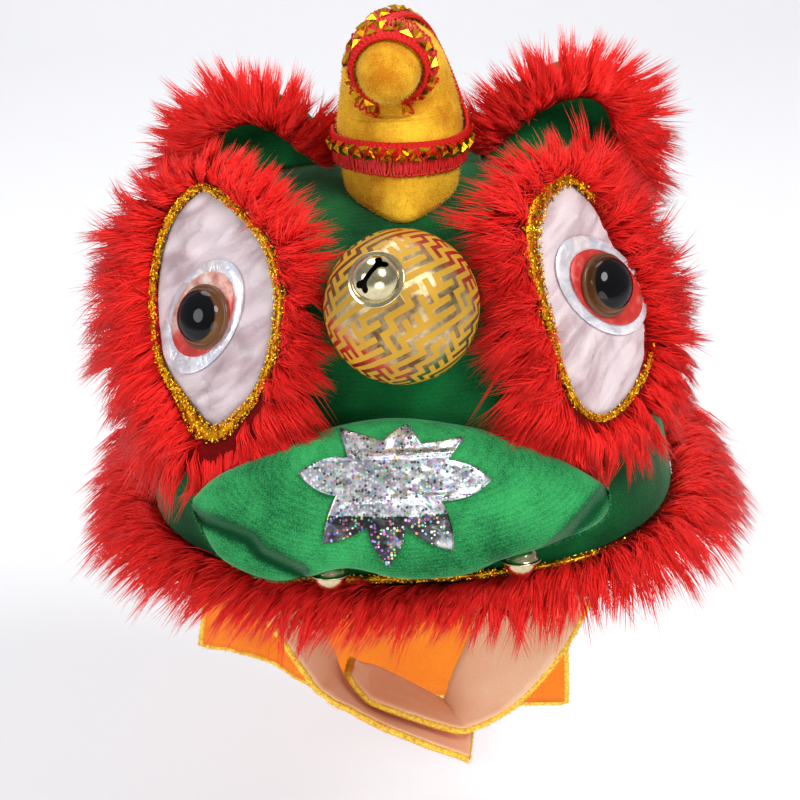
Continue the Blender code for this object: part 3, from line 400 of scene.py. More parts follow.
# Lamps: name, spot, aim, size, power and tint
LAMPS = (
    ("key_lamp", (0.75, -0.80, 1.15), (0, -0.03, -0.04), 0.7, 18, (1.0, 0.985, 0.97)),
    ("side_lamp", (-1.15, -0.70, 0.50), (0, -0.03, -0.05), 0.7, 7, (0.94, 0.97, 1.0)),
    ("top_lamp", (-0.2, 0.65, 1.2), (0, 0.0, 0.0), 0.9, 10, (1.0, 1.0, 1.0)),
    ("low_lamp", (0.25, -1.10, -0.22), (0, -0.02, -0.16), 0.8, 4.5, (1.0, 0.99, 0.97)),
)

# Floor and room: shades of the room at heights of the way one looks
ROOM_SHADES = ((0.0, 0.80), (0.62, 1.35), (0.25, 0.74))
FLOOR_HEIGHT = -0.300
FLOOR_SIZE = 3.0
FLOOR_BACK = 1.1
FLOOR_BEND = 0.5

# Clearance between pieces, and the start of every random number
GAP = 0.0004
SEED = 7

RIGHT, BACK, UP = Vector((1, 0, 0)), Vector((0, 1, 0)), Vector((0, 0, 1))


def arithmetic(operation, swapped=False):
    """A method that adds one Math node. Swapped, the other value comes first, as in 1 - mask."""

    def added(self, *others):
        """The node's result."""
        values = (*others, self) if swapped else (self, *others)
        return self.finish.node("Math", {"operation": operation}, dict(enumerate(values)))

    return added


class Value:
    """A socket whose arithmetic adds Math nodes."""

    def __init__(self, finish, socket):
        self.finish = finish
        self.socket = socket

    __add__ = arithmetic("ADD")
    __radd__ = arithmetic("ADD", swapped=True)
    __sub__ = arithmetic("SUBTRACT")
    __rsub__ = arithmetic("SUBTRACT", swapped=True)
    __mul__ = arithmetic("MULTIPLY")
    __rmul__ = arithmetic("MULTIPLY", swapped=True)
    __mod__ = arithmetic("FLOORED_MODULO")
    __lt__ = arithmetic("LESS_THAN")
    __gt__ = arithmetic("GREATER_THAN")
    __abs__ = arithmetic("ABSOLUTE")
    floor = arithmetic("FLOOR")
    wave = arithmetic("SINE")
    most = arithmetic("MAXIMUM")

    def between(self, low, high):
        """From 0 at low to 1 at high, softly."""
        settings = {"interpolation_type": "SMOOTHSTEP"}
        return self.finish.node("MapRange", settings, {"Value": self, "From Min": low, "From Max": high})


class Finish:
    """A material in the making: one method adds any node, and the rest name the usual ones."""

    def __init__(self, name, roughness, metallic=0.0, **plain):
        material = bpy.data.materials.new(name)
        material.use_nodes = True
        self.tree = material.node_tree
        self.shader = self.tree.nodes["Principled BSDF"]
        for socket, value in {"roughness": roughness, "metallic": metallic, **plain}.items():
            self.set(socket.replace("_", " ").title().replace("Ior", "IOR"), value)

    def node(self, kind, settings=None, sockets=None, output=0):
        """Add a node: its settings first, then the values or links of its sockets."""
        made = self.tree.nodes.new(f"ShaderNode{kind}")
        for name, value in (settings or {}).items():
            if name == "stops":
                self.set_stops(made.color_ramp, value)
            else:
                setattr(made, name, value)
        for name, value in (sockets or {}).items():
            self.fill(made.inputs[name], value)
        return Value(self, made.outputs[output])

    def set_stops(self, ramp, stops):
        """The stops of a colour ramp."""
        while len(ramp.elements) < len(stops):
            ramp.elements.new(1.0)
        for element, (place_of_stop, colour) in zip(ramp.elements, stops):
            element.position = place_of_stop
            element.color = (*colour, 1.0)

    def fill(self, socket, value):
        """A value or a link on a socket."""
        if isinstance(value, Value):
            self.tree.links.new(value.socket, socket)
        else:
            socket.default_value = value

    def set(self, socket, value):
        """A value or a link on the surface shader."""
        self.fill(self.shader.inputs[socket], value)

    def split(self, value, kind="SeparateXYZ"):
        """The three numbers of a vector or a colour."""
        outputs = self.node(kind, None, {0: value}).socket.node.outputs
        return [Value(self, socket) for socket in outputs]

    def place(self):
        """Where a point lies in the object."""
        return self.node("TexCoord", output="Object")

    def attribute(self, name):
        """A number kept on the piece's own points."""
        return self.node("Attribute", {"attribute_name": name}, output="Fac")

    def uv(self):
        """The two numbers of the piece's own UV map."""
        return self.split(self.node("UVMap", {"uv_map": "UVMap"}))[:2]

    def noise(self, scale, detail=2.0, rough=0.5, where=None, distortion=0.0):
        """Cloudy variation, between 0 and 1."""
        sockets = {"Scale": scale, "Detail": detail, "Roughness": rough, "Distortion": distortion}
        return self.node("TexNoise", None, {**sockets, "Vector": where or self.place()})

    def cells(self, scale, output="Distance", randomness=1.0):
        """Small cells: the distance to the middle of each, or its own colour."""
        sockets = {"Scale": scale, "Randomness": randomness, "Vector": self.place()}
        return self.node("TexVoronoi", None, sockets, output)

    def ramp(self, value, *stops):
        """Colours at places between 0 and 1."""
        return self.node("ValToRGB", {"stops": stops}, {0: value})

    def mix(self, share, first, second):
        """Two colours mixed."""
        colours = [(*c, 1.0) if isinstance(c, tuple) else c for c in (first, second)]
        return self.node("Mix", {"data_type": "RGBA"}, {"Factor": share, 6: colours[0], 7: colours[1]}, 2)

    def combine(self, x, y, z=0.0):
        """A vector from three numbers."""
        return self.node("CombineXYZ", None, {0: x, 1: y, 2: z})

    def paint(self, value, *stops):
        """The colour of the surface, from a ramp."""
        self.set("Base Color", self.ramp(value, *stops))

    def bump(self, height, depth, strength):
        """Relief of a depth in metres, from a height between 0 and 1."""
        self.set("Normal", self.node("Bump", None, {"Height": height, "Distance": depth, "Strength": strength}))


def colour(red, green, blue):
    """A colour as a screen gives it, from 0 to 255, in the values that shaders use."""
    return tuple(((c / 255 + 0.055) / 1.055) ** 2.4 if c > 10 else c / 255 / 12.92 for c in (red, green, blue))


def shaded(tint, share, cap=1.0):
    """A colour made darker or lighter, up to a cap."""
    return tuple(min(cap, c * share) for c in tint)


def velvet_green(name, deep, light):
    """Green velvet with fine ribs and a short pile, mottled where the pile lies in other directions."""
    tint = (0.55, 0.90, 0.62, 1.0)
    made = Finish(name, 0.9, sheen_weight=0.45, sheen_roughness=0.34, sheen_tint=tint, specular_ior_level=0.1)
    soft = made.noise(34, 4, 0.55) * 0.6 + 0.2
    pile = made.noise(2300, 2, 0.7)
    _, ahead, level = made.split(made.place())
    rib = ((level * 0.8 - ahead * 0.6 + soft * 0.0006) * VELVET_RIBS).wave() * 0.5 + 0.5
    # Near the lip's seams the fold attribute darkens the velvet: painted shade in the folds.
    shade = soft * 0.68 + pile * 0.30 + rib * 0.02 - made.attribute("fold") * 0.20
    made.paint(shade, (0.41, deep), (0.57, light))
    made.bump(pile * 0.90 + rib * 0.10, 0.00030, 0.8)


def velvet_yellow(deep, light):
    """Golden yellow velvet with a short knitted pile."""
    sheen = {"sheen_weight": 0.5, "sheen_roughness": 0.30, "sheen_tint": (1.0, 0.85, 0.35, 1.0)}
    made = Finish("horn_pile", 0.85, specular_ior_level=0.15, **sheen)
    pile = made.noise(2000, 2, 0.7)
    knit = made.cells(1150, randomness=0.5)
    made.paint(made.noise(48, 3, 0.65) * 0.80 + pile * 0.28 + knit * 0.05, (0.42, deep), (0.67, light))
    made.bump(pile * 0.6 + knit * 0.4, 0.00030, 0.8)


def long_fur(deep, light):
    """Silky red fur: each strand has its own shade, darker at the root as painted shade and paler at the tip as a
    painted highlight.
    """
    made = Finish("fur_strands", 0.4, specular_ior_level=0.55, specular_tint=(1.0, 0.30, 0.25, 1.0))
    shade = made.attribute("shade")
    pale = tuple(min(1.0, c * 1.1 + 0.02) for c in light)
    # Painted shade deep in the fur at the roots, and a painted highlight at the pale tips.
    made.paint(made.attribute("along") * 0.55 + shade * 0.45, (0.05, deep), (0.42, light), (0.95, pale))
    made.set("Roughness", 0.34 + shade * 0.2)


def fur_bed(name, deep):
    """The dense pile below strands."""
    made = Finish(name, 0.9, specular_ior_level=0.1)
    pile = made.noise(900, 3, 0.6)
    made.paint(pile, (0.3, shaded(deep, 0.6)), (0.8, shaded(deep, 1.6, cap=1.6)))
    made.bump(pile, 0.0006, 0.8)


def woven_braid(base):
    """Red woven band with slanted threads."""
    made = Finish("braid_weave", 0.55, specular_ior_level=0.25)
    along, across = made.uv()
    slant = abs((along * 1250 + abs(across * 3 % 1.0 - 0.5) * 1.6) % 1.0 - 0.5) * 2
    thread = slant * 0.6 + made.noise(2500, 2) * 0.4
    made.paint(thread, (0.15, shaded(base, 0.45)), (0.60, base))
    made.bump(thread, 0.0003, 0.8)


def braid_loops(base):
    """Red rayon thread of the looped edge."""
    made = Finish("red_loops", 0.4, specular_ior_level=0.5)
    made.paint(made.noise(1800, 1), (0.3, shaded(base, 0.6)), (0.7, base))


def gold_foil(name, deep, light, roughness):
    """Crinkled gold foil, painted dark orange in its folds as shade and brighter on its crinkles as highlights."""
    made = Finish(name, roughness, 1.0)
    crinkle = made.noise(420, 2, 0.6)
    # Painted shade in the folds of the crinkles, and painted highlights on their tops.
    made.paint(crinkle, (0.36, deep), (0.52, light), (0.75, shaded(light, 1.2)))
    made.set("Roughness", roughness - 0.07 + crinkle * 0.14)
    made.bump(crinkle, 0.0001, 0.4)


def gold_tinsel(deep, light):
    """Glitter flakes, each with its own shade of gold."""
    made = Finish("tinsel_glitter", 0.2, 0.9)
    shade = made.attribute("shade")
    made.paint(shade, (0.10, deep), (0.42, light), (0.9, shaded(light, 1.3)))
    made.set("Roughness", 0.16 + shade * 0.22)


def white_satin(shadow, light):
    """Lilac-white satin with a fine weave, painted darker in its creases as shade."""
    made = Finish("eye_satin", 0.42, sheen_weight=0.2, specular_ior_level=0.45)
    across, ahead, level = made.split(made.place())
    run, over = across * 0.80 + level * 0.60, level * 0.80 - across * 0.60
    crease = made.noise(1, 2, 0.45, made.combine(run * 38, over * 190, ahead * 38), 0.6)
    weave = made.noise(2600, 1)
    # Painted shade: darker where the creases of the relief lie.
    made.paint(crease * 0.85 + weave * 0.15, (0.34, shadow), (0.56, light))
    made.set("Roughness", 0.36 + weave * 0.15)
    made.bump(crease * 0.92 + weave * 0.08, 0.0022, 0.6)


def plain_foil(ground):
    """Bright silver foil with soft crumples, which carry painted reflections in a little red and blue and painted
    highlights.
    """
    made = Finish("eye_silver", 0.26, 0.35)
    crumpled = made.noise(190, 3, 0.6, distortion=0.8)
    # Painted reflection: pink and blue tints, over crumples painted from darker grey to near white as highlights.
    tint = made.ramp(made.noise(110, 2), (0.35, (0.95, 0.62, 0.62)), (0.60, (0.72, 0.80, 1.0)))
    shade = made.ramp(crumpled, (0.32, shaded(ground, 0.75)), (0.46, ground), (0.62, (0.98, 0.98, 1.0)))
    made.set("Base Color", made.mix(0.28, shade, tint))
    dot = made.cells(1700, randomness=0.7) < 0.3
    made.bump(crumpled * 0.9 + dot * 0.1, 0.0006, 0.8)


def sparkle_foil(ground, low, high):
    """Crumpled silver foil printed with small round dots in white or rainbow colours, darker below the creases as
    painted reflection.
    """
    made = Finish("star_foil", 0.24, 0.85)
    lot, pick, hue = made.split(made.cells(FOIL_DOTS, "Color", 0.8), "SeparateColor")
    dot = made.cells(FOIL_DOTS, randomness=0.8) < 0.46
    crumpled = made.noise(120, 3, 0.6, distortion=0.6)
    level = made.split(made.place())[2]
    # Painted reflection: below the lower crease the foil is darker, with fewer dots and more of them rainbow;
    # between the creases it is a little brighter.
    below, above = level < low, level > high
    tone = crumpled - below * 0.30 + (1 - below - above) * 0.03
    dot = dot * (1 - below * (lot < 0.55))
    dark, middle, pale = (shaded(ground, share) for share in (0.10, 0.80, 1.8))
    # The crumples' tones, from dark to pale, are painted reflection.
    shade = made.ramp(tone, (0.22, dark), (0.38, middle), (0.49, ground), (0.62, pale))
    sockets = {"Hue": hue, "Saturation": 0.9, "Value": 1.0, "Color": (0.85, 0.10, 0.18, 1.0)}
    rainbow = made.node("HueSaturation", None, sockets)
    white = made.ramp(lot, (0.2, dark), (0.45, pale), (0.8, (1.0, 1.0, 1.0)))
    bright = made.mix(pick < 0.35 + below * 0.45, white, rainbow)
    made.set("Base Color", made.mix(dot * 0.85, shade, bright))
    made.set("Roughness", 0.20 + lot * 0.20)
    made.bump(crumpled * 0.9 + dot * 0.1, 0.0006, 0.7)


def red_foil(base):
    """Matt red print on foil. On the left one a painted reflection turns it pale salmon, with the red left at its
    lower right.
    """
    made = Finish("eye_red", 0.38, 0.2)
    red_mottle = made.noise(220, 3, 0.6)
    across, _, level = made.split(made.place())
    spot = (across - PAINTED_REFLECTION_MIDDLE[0]) * 60 - (level - PAINTED_REFLECTION_MIDDLE[1]) * 75
    # Painted reflection on the left ring: pale salmon, fading out towards its lower right.
    pale = (across < 0) * (1 - (spot + red_mottle - 0.5).between(0.15, 0.45))
    plain = made.ramp(red_mottle, (0.30, shaded(base, 0.7)), (0.55, base), (0.85, (0.72, 0.22, 0.19)))
    salmon = made.ramp(red_mottle, (0.32, (0.50, 0.16, 0.13)), (0.50, (0.74, 0.40, 0.33)), (0.66, (0.86, 0.66, 0.62)))
    made.set("Base Color", made.mix(pale, plain, salmon))
    made.bump(red_mottle, 0.0003, 0.6)


def glass_eye(iris, rim):
    """Clear brown plastic over a black pupil, with a brown rim; painted light makes the brown lighter on one side.
    """
    made = Finish("eye_plastic", 0.06, specular_ior_level=0.24)
    away, turn = made.uv()
    # Painted light: the brown is darker on one side and lighter towards LOWER_RIGHT.
    brown = made.ramp(turn, (0.0, shaded(iris, 0.5)), (0.5, iris), (1.0, shaded(iris, 1.7)))
    edge = made.mix(away.between(0.88, 0.92), brown, rim)
    made.set("Base Color", made.mix(away.between(0.76, 0.81), (0.002, 0.002, 0.003), edge))


def brocade(ground, line, bright):
    """Gold satin with a key fret in metal thread: each corner of a grid is joined to its right or upper one."""
    made = Finish("ball_brocade", 0.42, specular_ior_level=0.25)
    across, up = made.uv()

    def joined(column, row):
        """Whether the corner at a column and row is joined to the one on its right."""
        key = made.combine(column % 7.0, row % 5.0)
        return made.node("TexWhiteNoise", {"noise_dimensions": "2D"}, {"Vector": key}) < FRET_SHARE

    near_column, near_row = (across + 0.5).floor(), (up + 0.5).floor()
    on_column, on_row = (1 - abs(way).between(0.21, 0.25) for way in (across - near_column, up - near_row))
    level = on_row * joined(across.floor(), near_row)
    upright = on_column * (1 - joined(near_column, up.floor()))
    fret = level.most(upright).most(on_column * on_row)
    weave = abs((across * 9 + up * 3) % 1.0 - 0.5) * abs((up * 9 - across * 3) % 1.0 - 0.5) * 4
    cloth = made.ramp(made.noise(70, 2) * 0.7 + weave * 0.3, (0.25, shaded(ground, 0.72)), (0.6, ground))
    metal = made.ramp(made.noise(110, 3, 0.7), (0.36, line), (0.62, bright))
    right, rise = ((way - FRET_START) * (FRET_PITCH / BALL_RADIUS) for way in (across, up))
    # Painted reflections in the fret's metal thread: brown towards the top of the ball, red at its sides and green
    # at its bottom.
    edges = (
        ((rise - right * 0.3).between(0.62, 0.95) * 0.85, (0.16, 0.055, 0.012)),
        ((abs(right + rise * 0.4) + made.noise(60) * 0.3).between(0.88, 1.15) * 0.9, (0.50, 0.012, 0.010)),
        ((0 - rise + right * 0.2).between(0.85, 1.10) * 0.9, (0.02, 0.13, 0.03)),
    )
    for share, tint in edges:
        metal = made.mix(share, metal, tint)
    made.set("Base Color", made.mix(fret, cloth, metal))
    made.set("Metallic", 0.10 + fret * 0.70)
    made.set("Roughness", 0.46 - fret * 0.16)
    made.bump(fret * 0.6 + weave * 0.4, 0.00016, 0.5)


def gilt_metal(base):
    """Bright thin plating, faintly scuffed."""
    made = Finish("bell_gilt", 0.14, 1.0)
    scuff = made.noise(500, 3, 0.7)
    made.paint(scuff, (0.3, shaded(base, 0.75)), (0.6, base))
    made.set("Roughness", 0.10 + scuff * 0.14)
    made.bump(scuff, 0.00008, 0.3)


def dark_inside():
    """The inside of a bell, painted near black as the shade within it."""
    made = Finish("bell_inside", 0.6, 0.8)
    made.paint(made.noise(400), (0.3, (0.012, 0.009, 0.005)), (0.8, (0.05, 0.035, 0.02)))


def satin_orange(deep, light):
    """Bright orange satin with a fine weave."""
    made = Finish("cape_orange", 0.55, sheen_weight=0.1, specular_ior_level=0.2)
    weave = made.cells(1500)
    made.paint(made.noise(30, 3) * 0.75 + weave * 0.5, (0.3, deep), (0.8, light))
    made.set("Roughness", 0.42 + weave * 0.2)
    made.bump(weave, 0.00012, 0.5)


def pale_lining(deep, light):
    """Pale lining cloth with a soft nap."""
    made = Finish("strap_nap", 0.9, sheen_weight=0.3, specular_ior_level=0.1)
    soft = made.noise(1900, 2)
    made.paint(made.noise(45, 3) * 0.5 + soft * 0.5, (0.3, deep), (0.7, light))
    made.bump(soft, 0.00018, 0.5)


def short_pile(name, deep, light):
    """Short strands of pile, each with its own shade, darker at the root as painted shade and lighter at its tip as
    a painted highlight.
    """
    made = Finish(name, 0.9, specular_ior_level=0.05)
    made.paint(made.attribute("shade") * 0.4 + made.attribute("along") * 0.6, (0.1, deep), (0.85, light))


def stage_paper(pale):
    """Plain pale paper."""
    made = Finish("stage_paper", 0.95, specular_ior_level=0.1)
    made.paint(made.noise(3), (0.2, shaded(pale, 0.97)), (0.8, pale))


def place(verts, points):
    """Put vertices at points, in order."""
    for vert, point in zip(verts, points):
        vert.co = point


def grow(mesh, verts, edges):
    """Extrude a loop of edges and give back the new loop in the same order."""
    made = bmesh.ops.extrude_edge_only(mesh, edges=edges)["geom"]
    fresh = {item for item in made if isinstance(item, bmesh.types.BMVert)}
    made_edges = [item for item in made if isinstance(item, bmesh.types.BMEdge)]
    new_edges = [edge for edge in made_edges if fresh.issuperset(edge.verts)]
    new_verts = []
    for vert in verts:
        others = (edge.other_vert(vert) for edge in vert.link_edges)
        new_verts.append(next(other for other in others if other in fresh))
    return new_verts, new_edges


def loft(rings, closed=False, tips=(None, None)):
    """A skin through rings of points. It closes on itself, or ends in flat caps or in pointed tips."""
    mesh = bmesh.new()
    first = bmesh.ops.create_circle(mesh, segments=len(rings[0]), radius=1)["verts"]
    first_edges = mesh.edges[:]
    place(first, rings[0])
    verts, edges = first, first_edges
    for ring in [*rings[1:], *(rings[:1] if closed else [])]:
        verts, edges = grow(mesh, verts, edges)
        place(verts, ring)
    if closed:
        bmesh.ops.weld_verts(mesh, targetmap=dict(zip(verts, first)))
        return mesh
    for ends, tip in zip((first_edges, edges), tips):
        cap = bmesh.ops.edgeloop_fill(mesh, edges=ends)["faces"]
        if tip is not None:
            bmesh.ops.poke(mesh, faces=cap)["verts"][0].co = tip
    return mesh


def blend(rows, place_along):
    """Values of a table between its rows, on a smooth curve through them."""
    step = min(int(place_along), len(rows) - 2)
    t = place_along - step
    around = (rows[min(max(step + k, 0), len(rows) - 1)] for k in (-1, 0, 1, 2))
    return [
        0.5 * (2 * b + (c - a) * t + (2 * a - 5 * b + 4 * c - d) * t**2 + (3 * b - a - 3 * c + d) * t**3)
        for a, b, c, d in zip(*around)
    ]


def spread(rows, steps):
    """Smooth rows at even steps from the first row of a table to its last."""
    return [blend(rows, (len(rows) - 1) * step / (steps - 1)) for step in range(steps)]


def running(path):
    """The length of a path up to each of its points."""
    return [0.0, *accumulate((end - start).length for start, end in zip(path, path[1:]))]


def marks(lengths, count, spans):
    """For even steps along a path: the leg that each falls on, and the length gone by then."""
    leg = 0
    for step in range(count):
        target = lengths[-1] * step / spans
        while leg < len(lengths) - 2 and lengths[leg + 1] < target:
            leg += 1
        yield leg, target


def even(points, count, closed=False):
    """Points at even distances along a path."""
    path = [Vector(point) for point in points] + ([Vector(points[0])] if closed else [])
    lengths = running(path)
    return [
        path[leg].lerp(path[leg + 1], (target - lengths[leg]) / (lengths[leg + 1] - lengths[leg]))
        for leg, target in marks(lengths, count, count if closed else count - 1)
    ]


def round_outline(points, count):
    """A smooth closed outline through a few points, at even distances."""
    looped = [points[-1], *points, points[0], points[1]]
    fine = []
    for step in range(len(points)):
        for part in range(12):
            fine.append(blend(looped[step : step + 4], 1 + part / 12))
    return even([(across, up, 0.0) for across, up in fine], count, closed=True)


def outward(outline):
    """The sideways direction away from a closed outline, at each of its points."""
    found = []
    for index in range(len(outline)):
        along = outline[(index + 1) % len(outline)] - outline[index - 1]
        found.append(Vector((along.y, -along.x, 0)).normalized())
    return found if area_of(outline) > 0 else [-way for way in found]


def turns_of(count):
    """Even angles round a circle."""
    return [2 * math.pi * step / count for step in range(count)]


def run_of(path, index):
    """The direction of a path at one of its points."""
    return (path[min(index + 1, len(path) - 1)] - path[max(index - 1, 0)]).normalized()


def ring_round(point, way, other, radius, count=8):
    """A ring of points round a place, in the plane of two directions."""
    return [point + (way * math.cos(t) + other * math.sin(t)) * radius for t in turns_of(count)]


def area_of(outline):
    """The area inside a closed outline, below 0 where it runs clockwise."""
    return sum(a.x * b.y - b.x * a.y for a, b in zip(outline, [*outline[1:], outline[0]])) / 2


def rest_on(mesh, tree, gap=GAP):
    """Move the points of a mesh that lie inside a surface, or too near it, just outside it."""
    for vert in mesh.verts:
        near, normal, _, _ = tree.find_nearest(vert.co)
        depth = gap - (vert.co - near).dot(normal)
        if depth > 0:
            vert.co = vert.co + normal * depth


def tree_of(*objects):
    """A search tree of the surfaces of finished pieces or of nodes of the frame."""
    joined = bmesh.new()
    bpy.context.view_layer.update()
    graph = bpy.context.evaluated_depsgraph_get()
    for made in objects:
        held = made.evaluated_get(graph).to_mesh()
        joined.from_mesh(held)
    tree = BVHTree.FromBMesh(joined)
    joined.free()
    return tree


def linked(made):
    """An object, put into the scene."""
    bpy.context.scene.collection.objects.link(made)
    return made


def object_of(name, mesh, smooth=True):
    """An object from a mesh in the making, with its faces turned outwards."""
    bmesh.ops.recalc_face_normals(mesh, faces=mesh.faces)
    data = bpy.data.meshes.new(name)
    mesh.to_mesh(data)
    mesh.free()
    if smooth:
        data.shade_smooth()
    return bpy.data.objects.new(name, data)


def dressed(made, finishes, slot, node=""):
    """Give a finished mesh its materials; it rides on the costume and stands for its node."""
    for finish in finishes.split():
        made.data.materials.append(bpy.data.materials[finish])
    linked(made)
    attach(made, "root")
    if node:
        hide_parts(node)
    return made


def piece(name, mesh, finishes, slot, node=""):
    """Turn a mesh into a finished piece."""
    return dressed(object_of(name, mesh), finishes, slot, node)


def sharpen(made, degrees):
    """Draw edges above an angle sharp."""
    made.data.set_sharp_from_angle(angle=math.radians(degrees))


def thicken(made, thickness, offset=0, inner=0):
    """Give a sheet its thickness, with another finish inside where one is named."""
    sheet = made.modifiers.new("Thickness", "SOLIDIFY")
    sheet.thickness = thickness
    sheet.offset = offset
    sheet.use_even_offset = False
    sheet.material_offset = inner


class EyeFrame:
    """The plane of one eye: across to the viewer's right, up, and out of the head."""

    def __init__(self, side):
        self.centre = Vector((side * EYE_CENTRE.x, EYE_CENTRE.y, EYE_CENTRE.z))
        self.out = Vector((side * EYE_FACING.x, EYE_FACING.y, EYE_FACING.z))
        self.across = Vector((0, 0, 1)).cross(self.out).normalized()
        self.up = self.out.cross(self.across)

    def at(self, across, up, height):
        """A point over the eye's plane."""
        return self.centre + self.across * across + self.up * up + self.out * height

    def height_of(self, point):
        """How far a point lies in front of the eye's plane."""
        return (point - self.centre).dot(self.out)


EYE_FRAMES = {name: EyeFrame(eye["side"]) for name, eye in EYES.items()}


def rounded(value, power):
    """A sine or cosine raised to a power, with its sign kept."""
    return math.copysign(abs(value) ** power, value)


def head_row(height):
    """The head's half sizes at a level, straight between two rows."""
    for low, high in zip(HEAD_ROWS, HEAD_ROWS[1:]):
        if height <= high[0]:
            part = max(0.0, (height - low[0]) / (high[0] - low[0]))
            return [a + (b - a) * part for a, b in zip(low, high)]
    return list(HEAD_ROWS[-1])


def head_point(row, angle, out=0.0):
    """A point of the head's outline at one level, angle 0 at the viewer's right and 90 at the back."""
    height, left, right, front, back, square = row
    cosine, sine = math.cos(angle), math.sin(angle)
    half_x = (right if cosine > 0 else left) + out
    half_y = (back if sine > 0 else front) + out
    return Vector((half_x * rounded(cosine, 2 / square), half_y * rounded(sine, 2 / square), height))


def bedded(point):
    """A point of the head pressed back to the flat bed of the eye that it lies under."""
    for eye_frame in EYE_FRAMES.values():
        over = eye_frame.height_of(point) + EYE_BED
        if over > 0:
            point = point - eye_frame.out * over
    return point


def head_shape():
    """The outer skin of the head, open below, with shallow puckers in the velvet."""
    levels = []
    for low, high in zip(HEAD_ROWS, HEAD_ROWS[1:]):
        steps = max(2, round(HEAD_LEVELS * (high[0] - low[0]) / 0.12))
        levels += [[a + (b - a) * step / steps for a, b in zip(low, high)] for step in range(steps)]
    levels.append(list(HEAD_ROWS[-1]))
    rings = [[bedded(head_point(row, turn)) for turn in turns_of(HEAD_TURNS)] for row in levels]
    mesh = loft(rings, tips=(None, Vector((0, 0, CROWN_TOP))))
    bmesh.ops.recalc_face_normals(mesh, faces=mesh.faces)
    opening = [face for face in mesh.faces if len(face.verts) == HEAD_TURNS]
    bmesh.ops.delete(mesh, geom=opening, context="FACES_ONLY")
    return mesh


def wrinkle(scale, *where):
    """Unevenness of the cloth at a place, between 0 and 1."""
    return max(0.0, noise.noise(Vector(where) * scale))


def make_head():
    """The velvet head with its lining."""
    mesh = head_shape()
    mesh.normal_update()
    for vert in mesh.verts:
        vert.co = vert.co - vert.normal * (wrinkle(42, *vert.co) * 0.0008 + wrinkle(95, *vert.co) * 0.0004)
    made = piece("head_velvet", mesh, "head_pile strap_nap", "green_velvet", "head_shell")
    thicken(made, WALL, -1, 1)
    return made


def lip_directions():
    """The lip's own directions: up along its face, and out of its face."""
    up = Vector((0, math.sin(LIP_LEAN), math.cos(LIP_LEAN)))
    out = Vector((0, -math.cos(LIP_LEAN), math.sin(LIP_LEAN)))
    return up, out


def seam_pull(across, up):
    """How deep the seams draw in the lip's face at one place, with the roll below them, and how near a seam is."""
    here = Vector((across, up))
    pull, fold = 0.0, 0.0
    for line, depth, step in LIP_SEAMS:
        nearest, below = 1.0, 0.0
        for start, end in zip(line, line[1:]):
            leg = Vector(end) - Vector(start)
            part = min(1.0, max(0.0, (here - Vector(start)).dot(leg) / leg.length_squared))
            away = here - Vector(start) - leg * part
            if away.length < nearest:
                nearest = away.length
                below = max(0.0, -leg.cross(away)) / leg.length
        fade = math.exp(-((nearest / 0.014) ** 2))
        pull += depth * math.exp(-((nearest / LIP_SEAM_WIDTH) ** 2)) + step * min(1.0, below / 0.0015) * fade
        # How near a seam is; the lip's velvet is painted darker there, as shade in the fold.
        fold = max(fold, math.exp(-((nearest / (LIP_SEAM_WIDTH * 1.3)) ** 2)))
    return pull, fold


def make_lip(skin):
    """The stuffed lip, with its folded seam at the lower left and puckers along its edge."""
    up, out = lip_directions()
    rings = []
    for across, top, bottom, depth in spread(LIP_ROWS, LIP_LEVELS):
        middle, half = (top + bottom) / 2, (top - bottom) / 2
        set_back = LIP_WRAP * (across / LIP_ROWS[0][0]) ** 2
        back = LIP_BACK * half / (LIP_ROWS[5][1] - LIP_ROWS[5][2]) * 2
        ring = []
        for turn in turns_of(LIP_TURNS):
            rise = middle + half * rounded(math.cos(turn), 0.85)
            forward = (depth if math.sin(turn) > 0 else back) * rounded(math.sin(turn), 0.8) - set_back
            if math.sin(turn) > 0:
                forward -= seam_pull(across, rise)[0]
                forward -= LIP_PUCKER * abs(math.cos(turn)) ** 3 * wrinkle(1, across * 190, rise * 30, 2)
                forward -= LIP_PUCKER * wrinkle(1, across * 38, rise * 60, 5)
            ring.append(LIP_CENTRE + RIGHT * across + up * rise + out * forward)
        rings.append(ring)
    mesh = loft(rings)
    # Each point keeps how near it lies to a seam, for the painted shade in the lip's folds.
    layer = mesh.verts.layers.float.new("fold")
    for vert in mesh.verts:
        vert[layer] = seam_pull(vert.co.x - LIP_CENTRE.x, (vert.co - LIP_CENTRE).dot(up))[1]
    rest_on(mesh, skin)
    made = piece("lip_cushion", mesh, "lip_pile", "green_velvet", "lip")
    nap("lip_nap", made, 13000, 0.0010, "green_pile", "green_velvet", SEED + 70)
    return made


def star_rim():
    """The outline of the star, whose points have curved sides like leaves."""
    corners = [Vector(point) for point in STAR_OUTLINE]
    rim = []
    for index, corner in enumerate(corners):
        following = corners[(index + 1) % len(corners)]
        leg = following - corner
        side = Vector((-leg.y, leg.x)) * STAR_BOWS[(index + 1) // 2 % len(STAR_BOWS)]
        for step in range(STAR_SIDE_STEPS):
            part = step / STAR_SIDE_STEPS
            rim.append(corner + leg * part + side * 4 * part * (1 - part))
    return rim


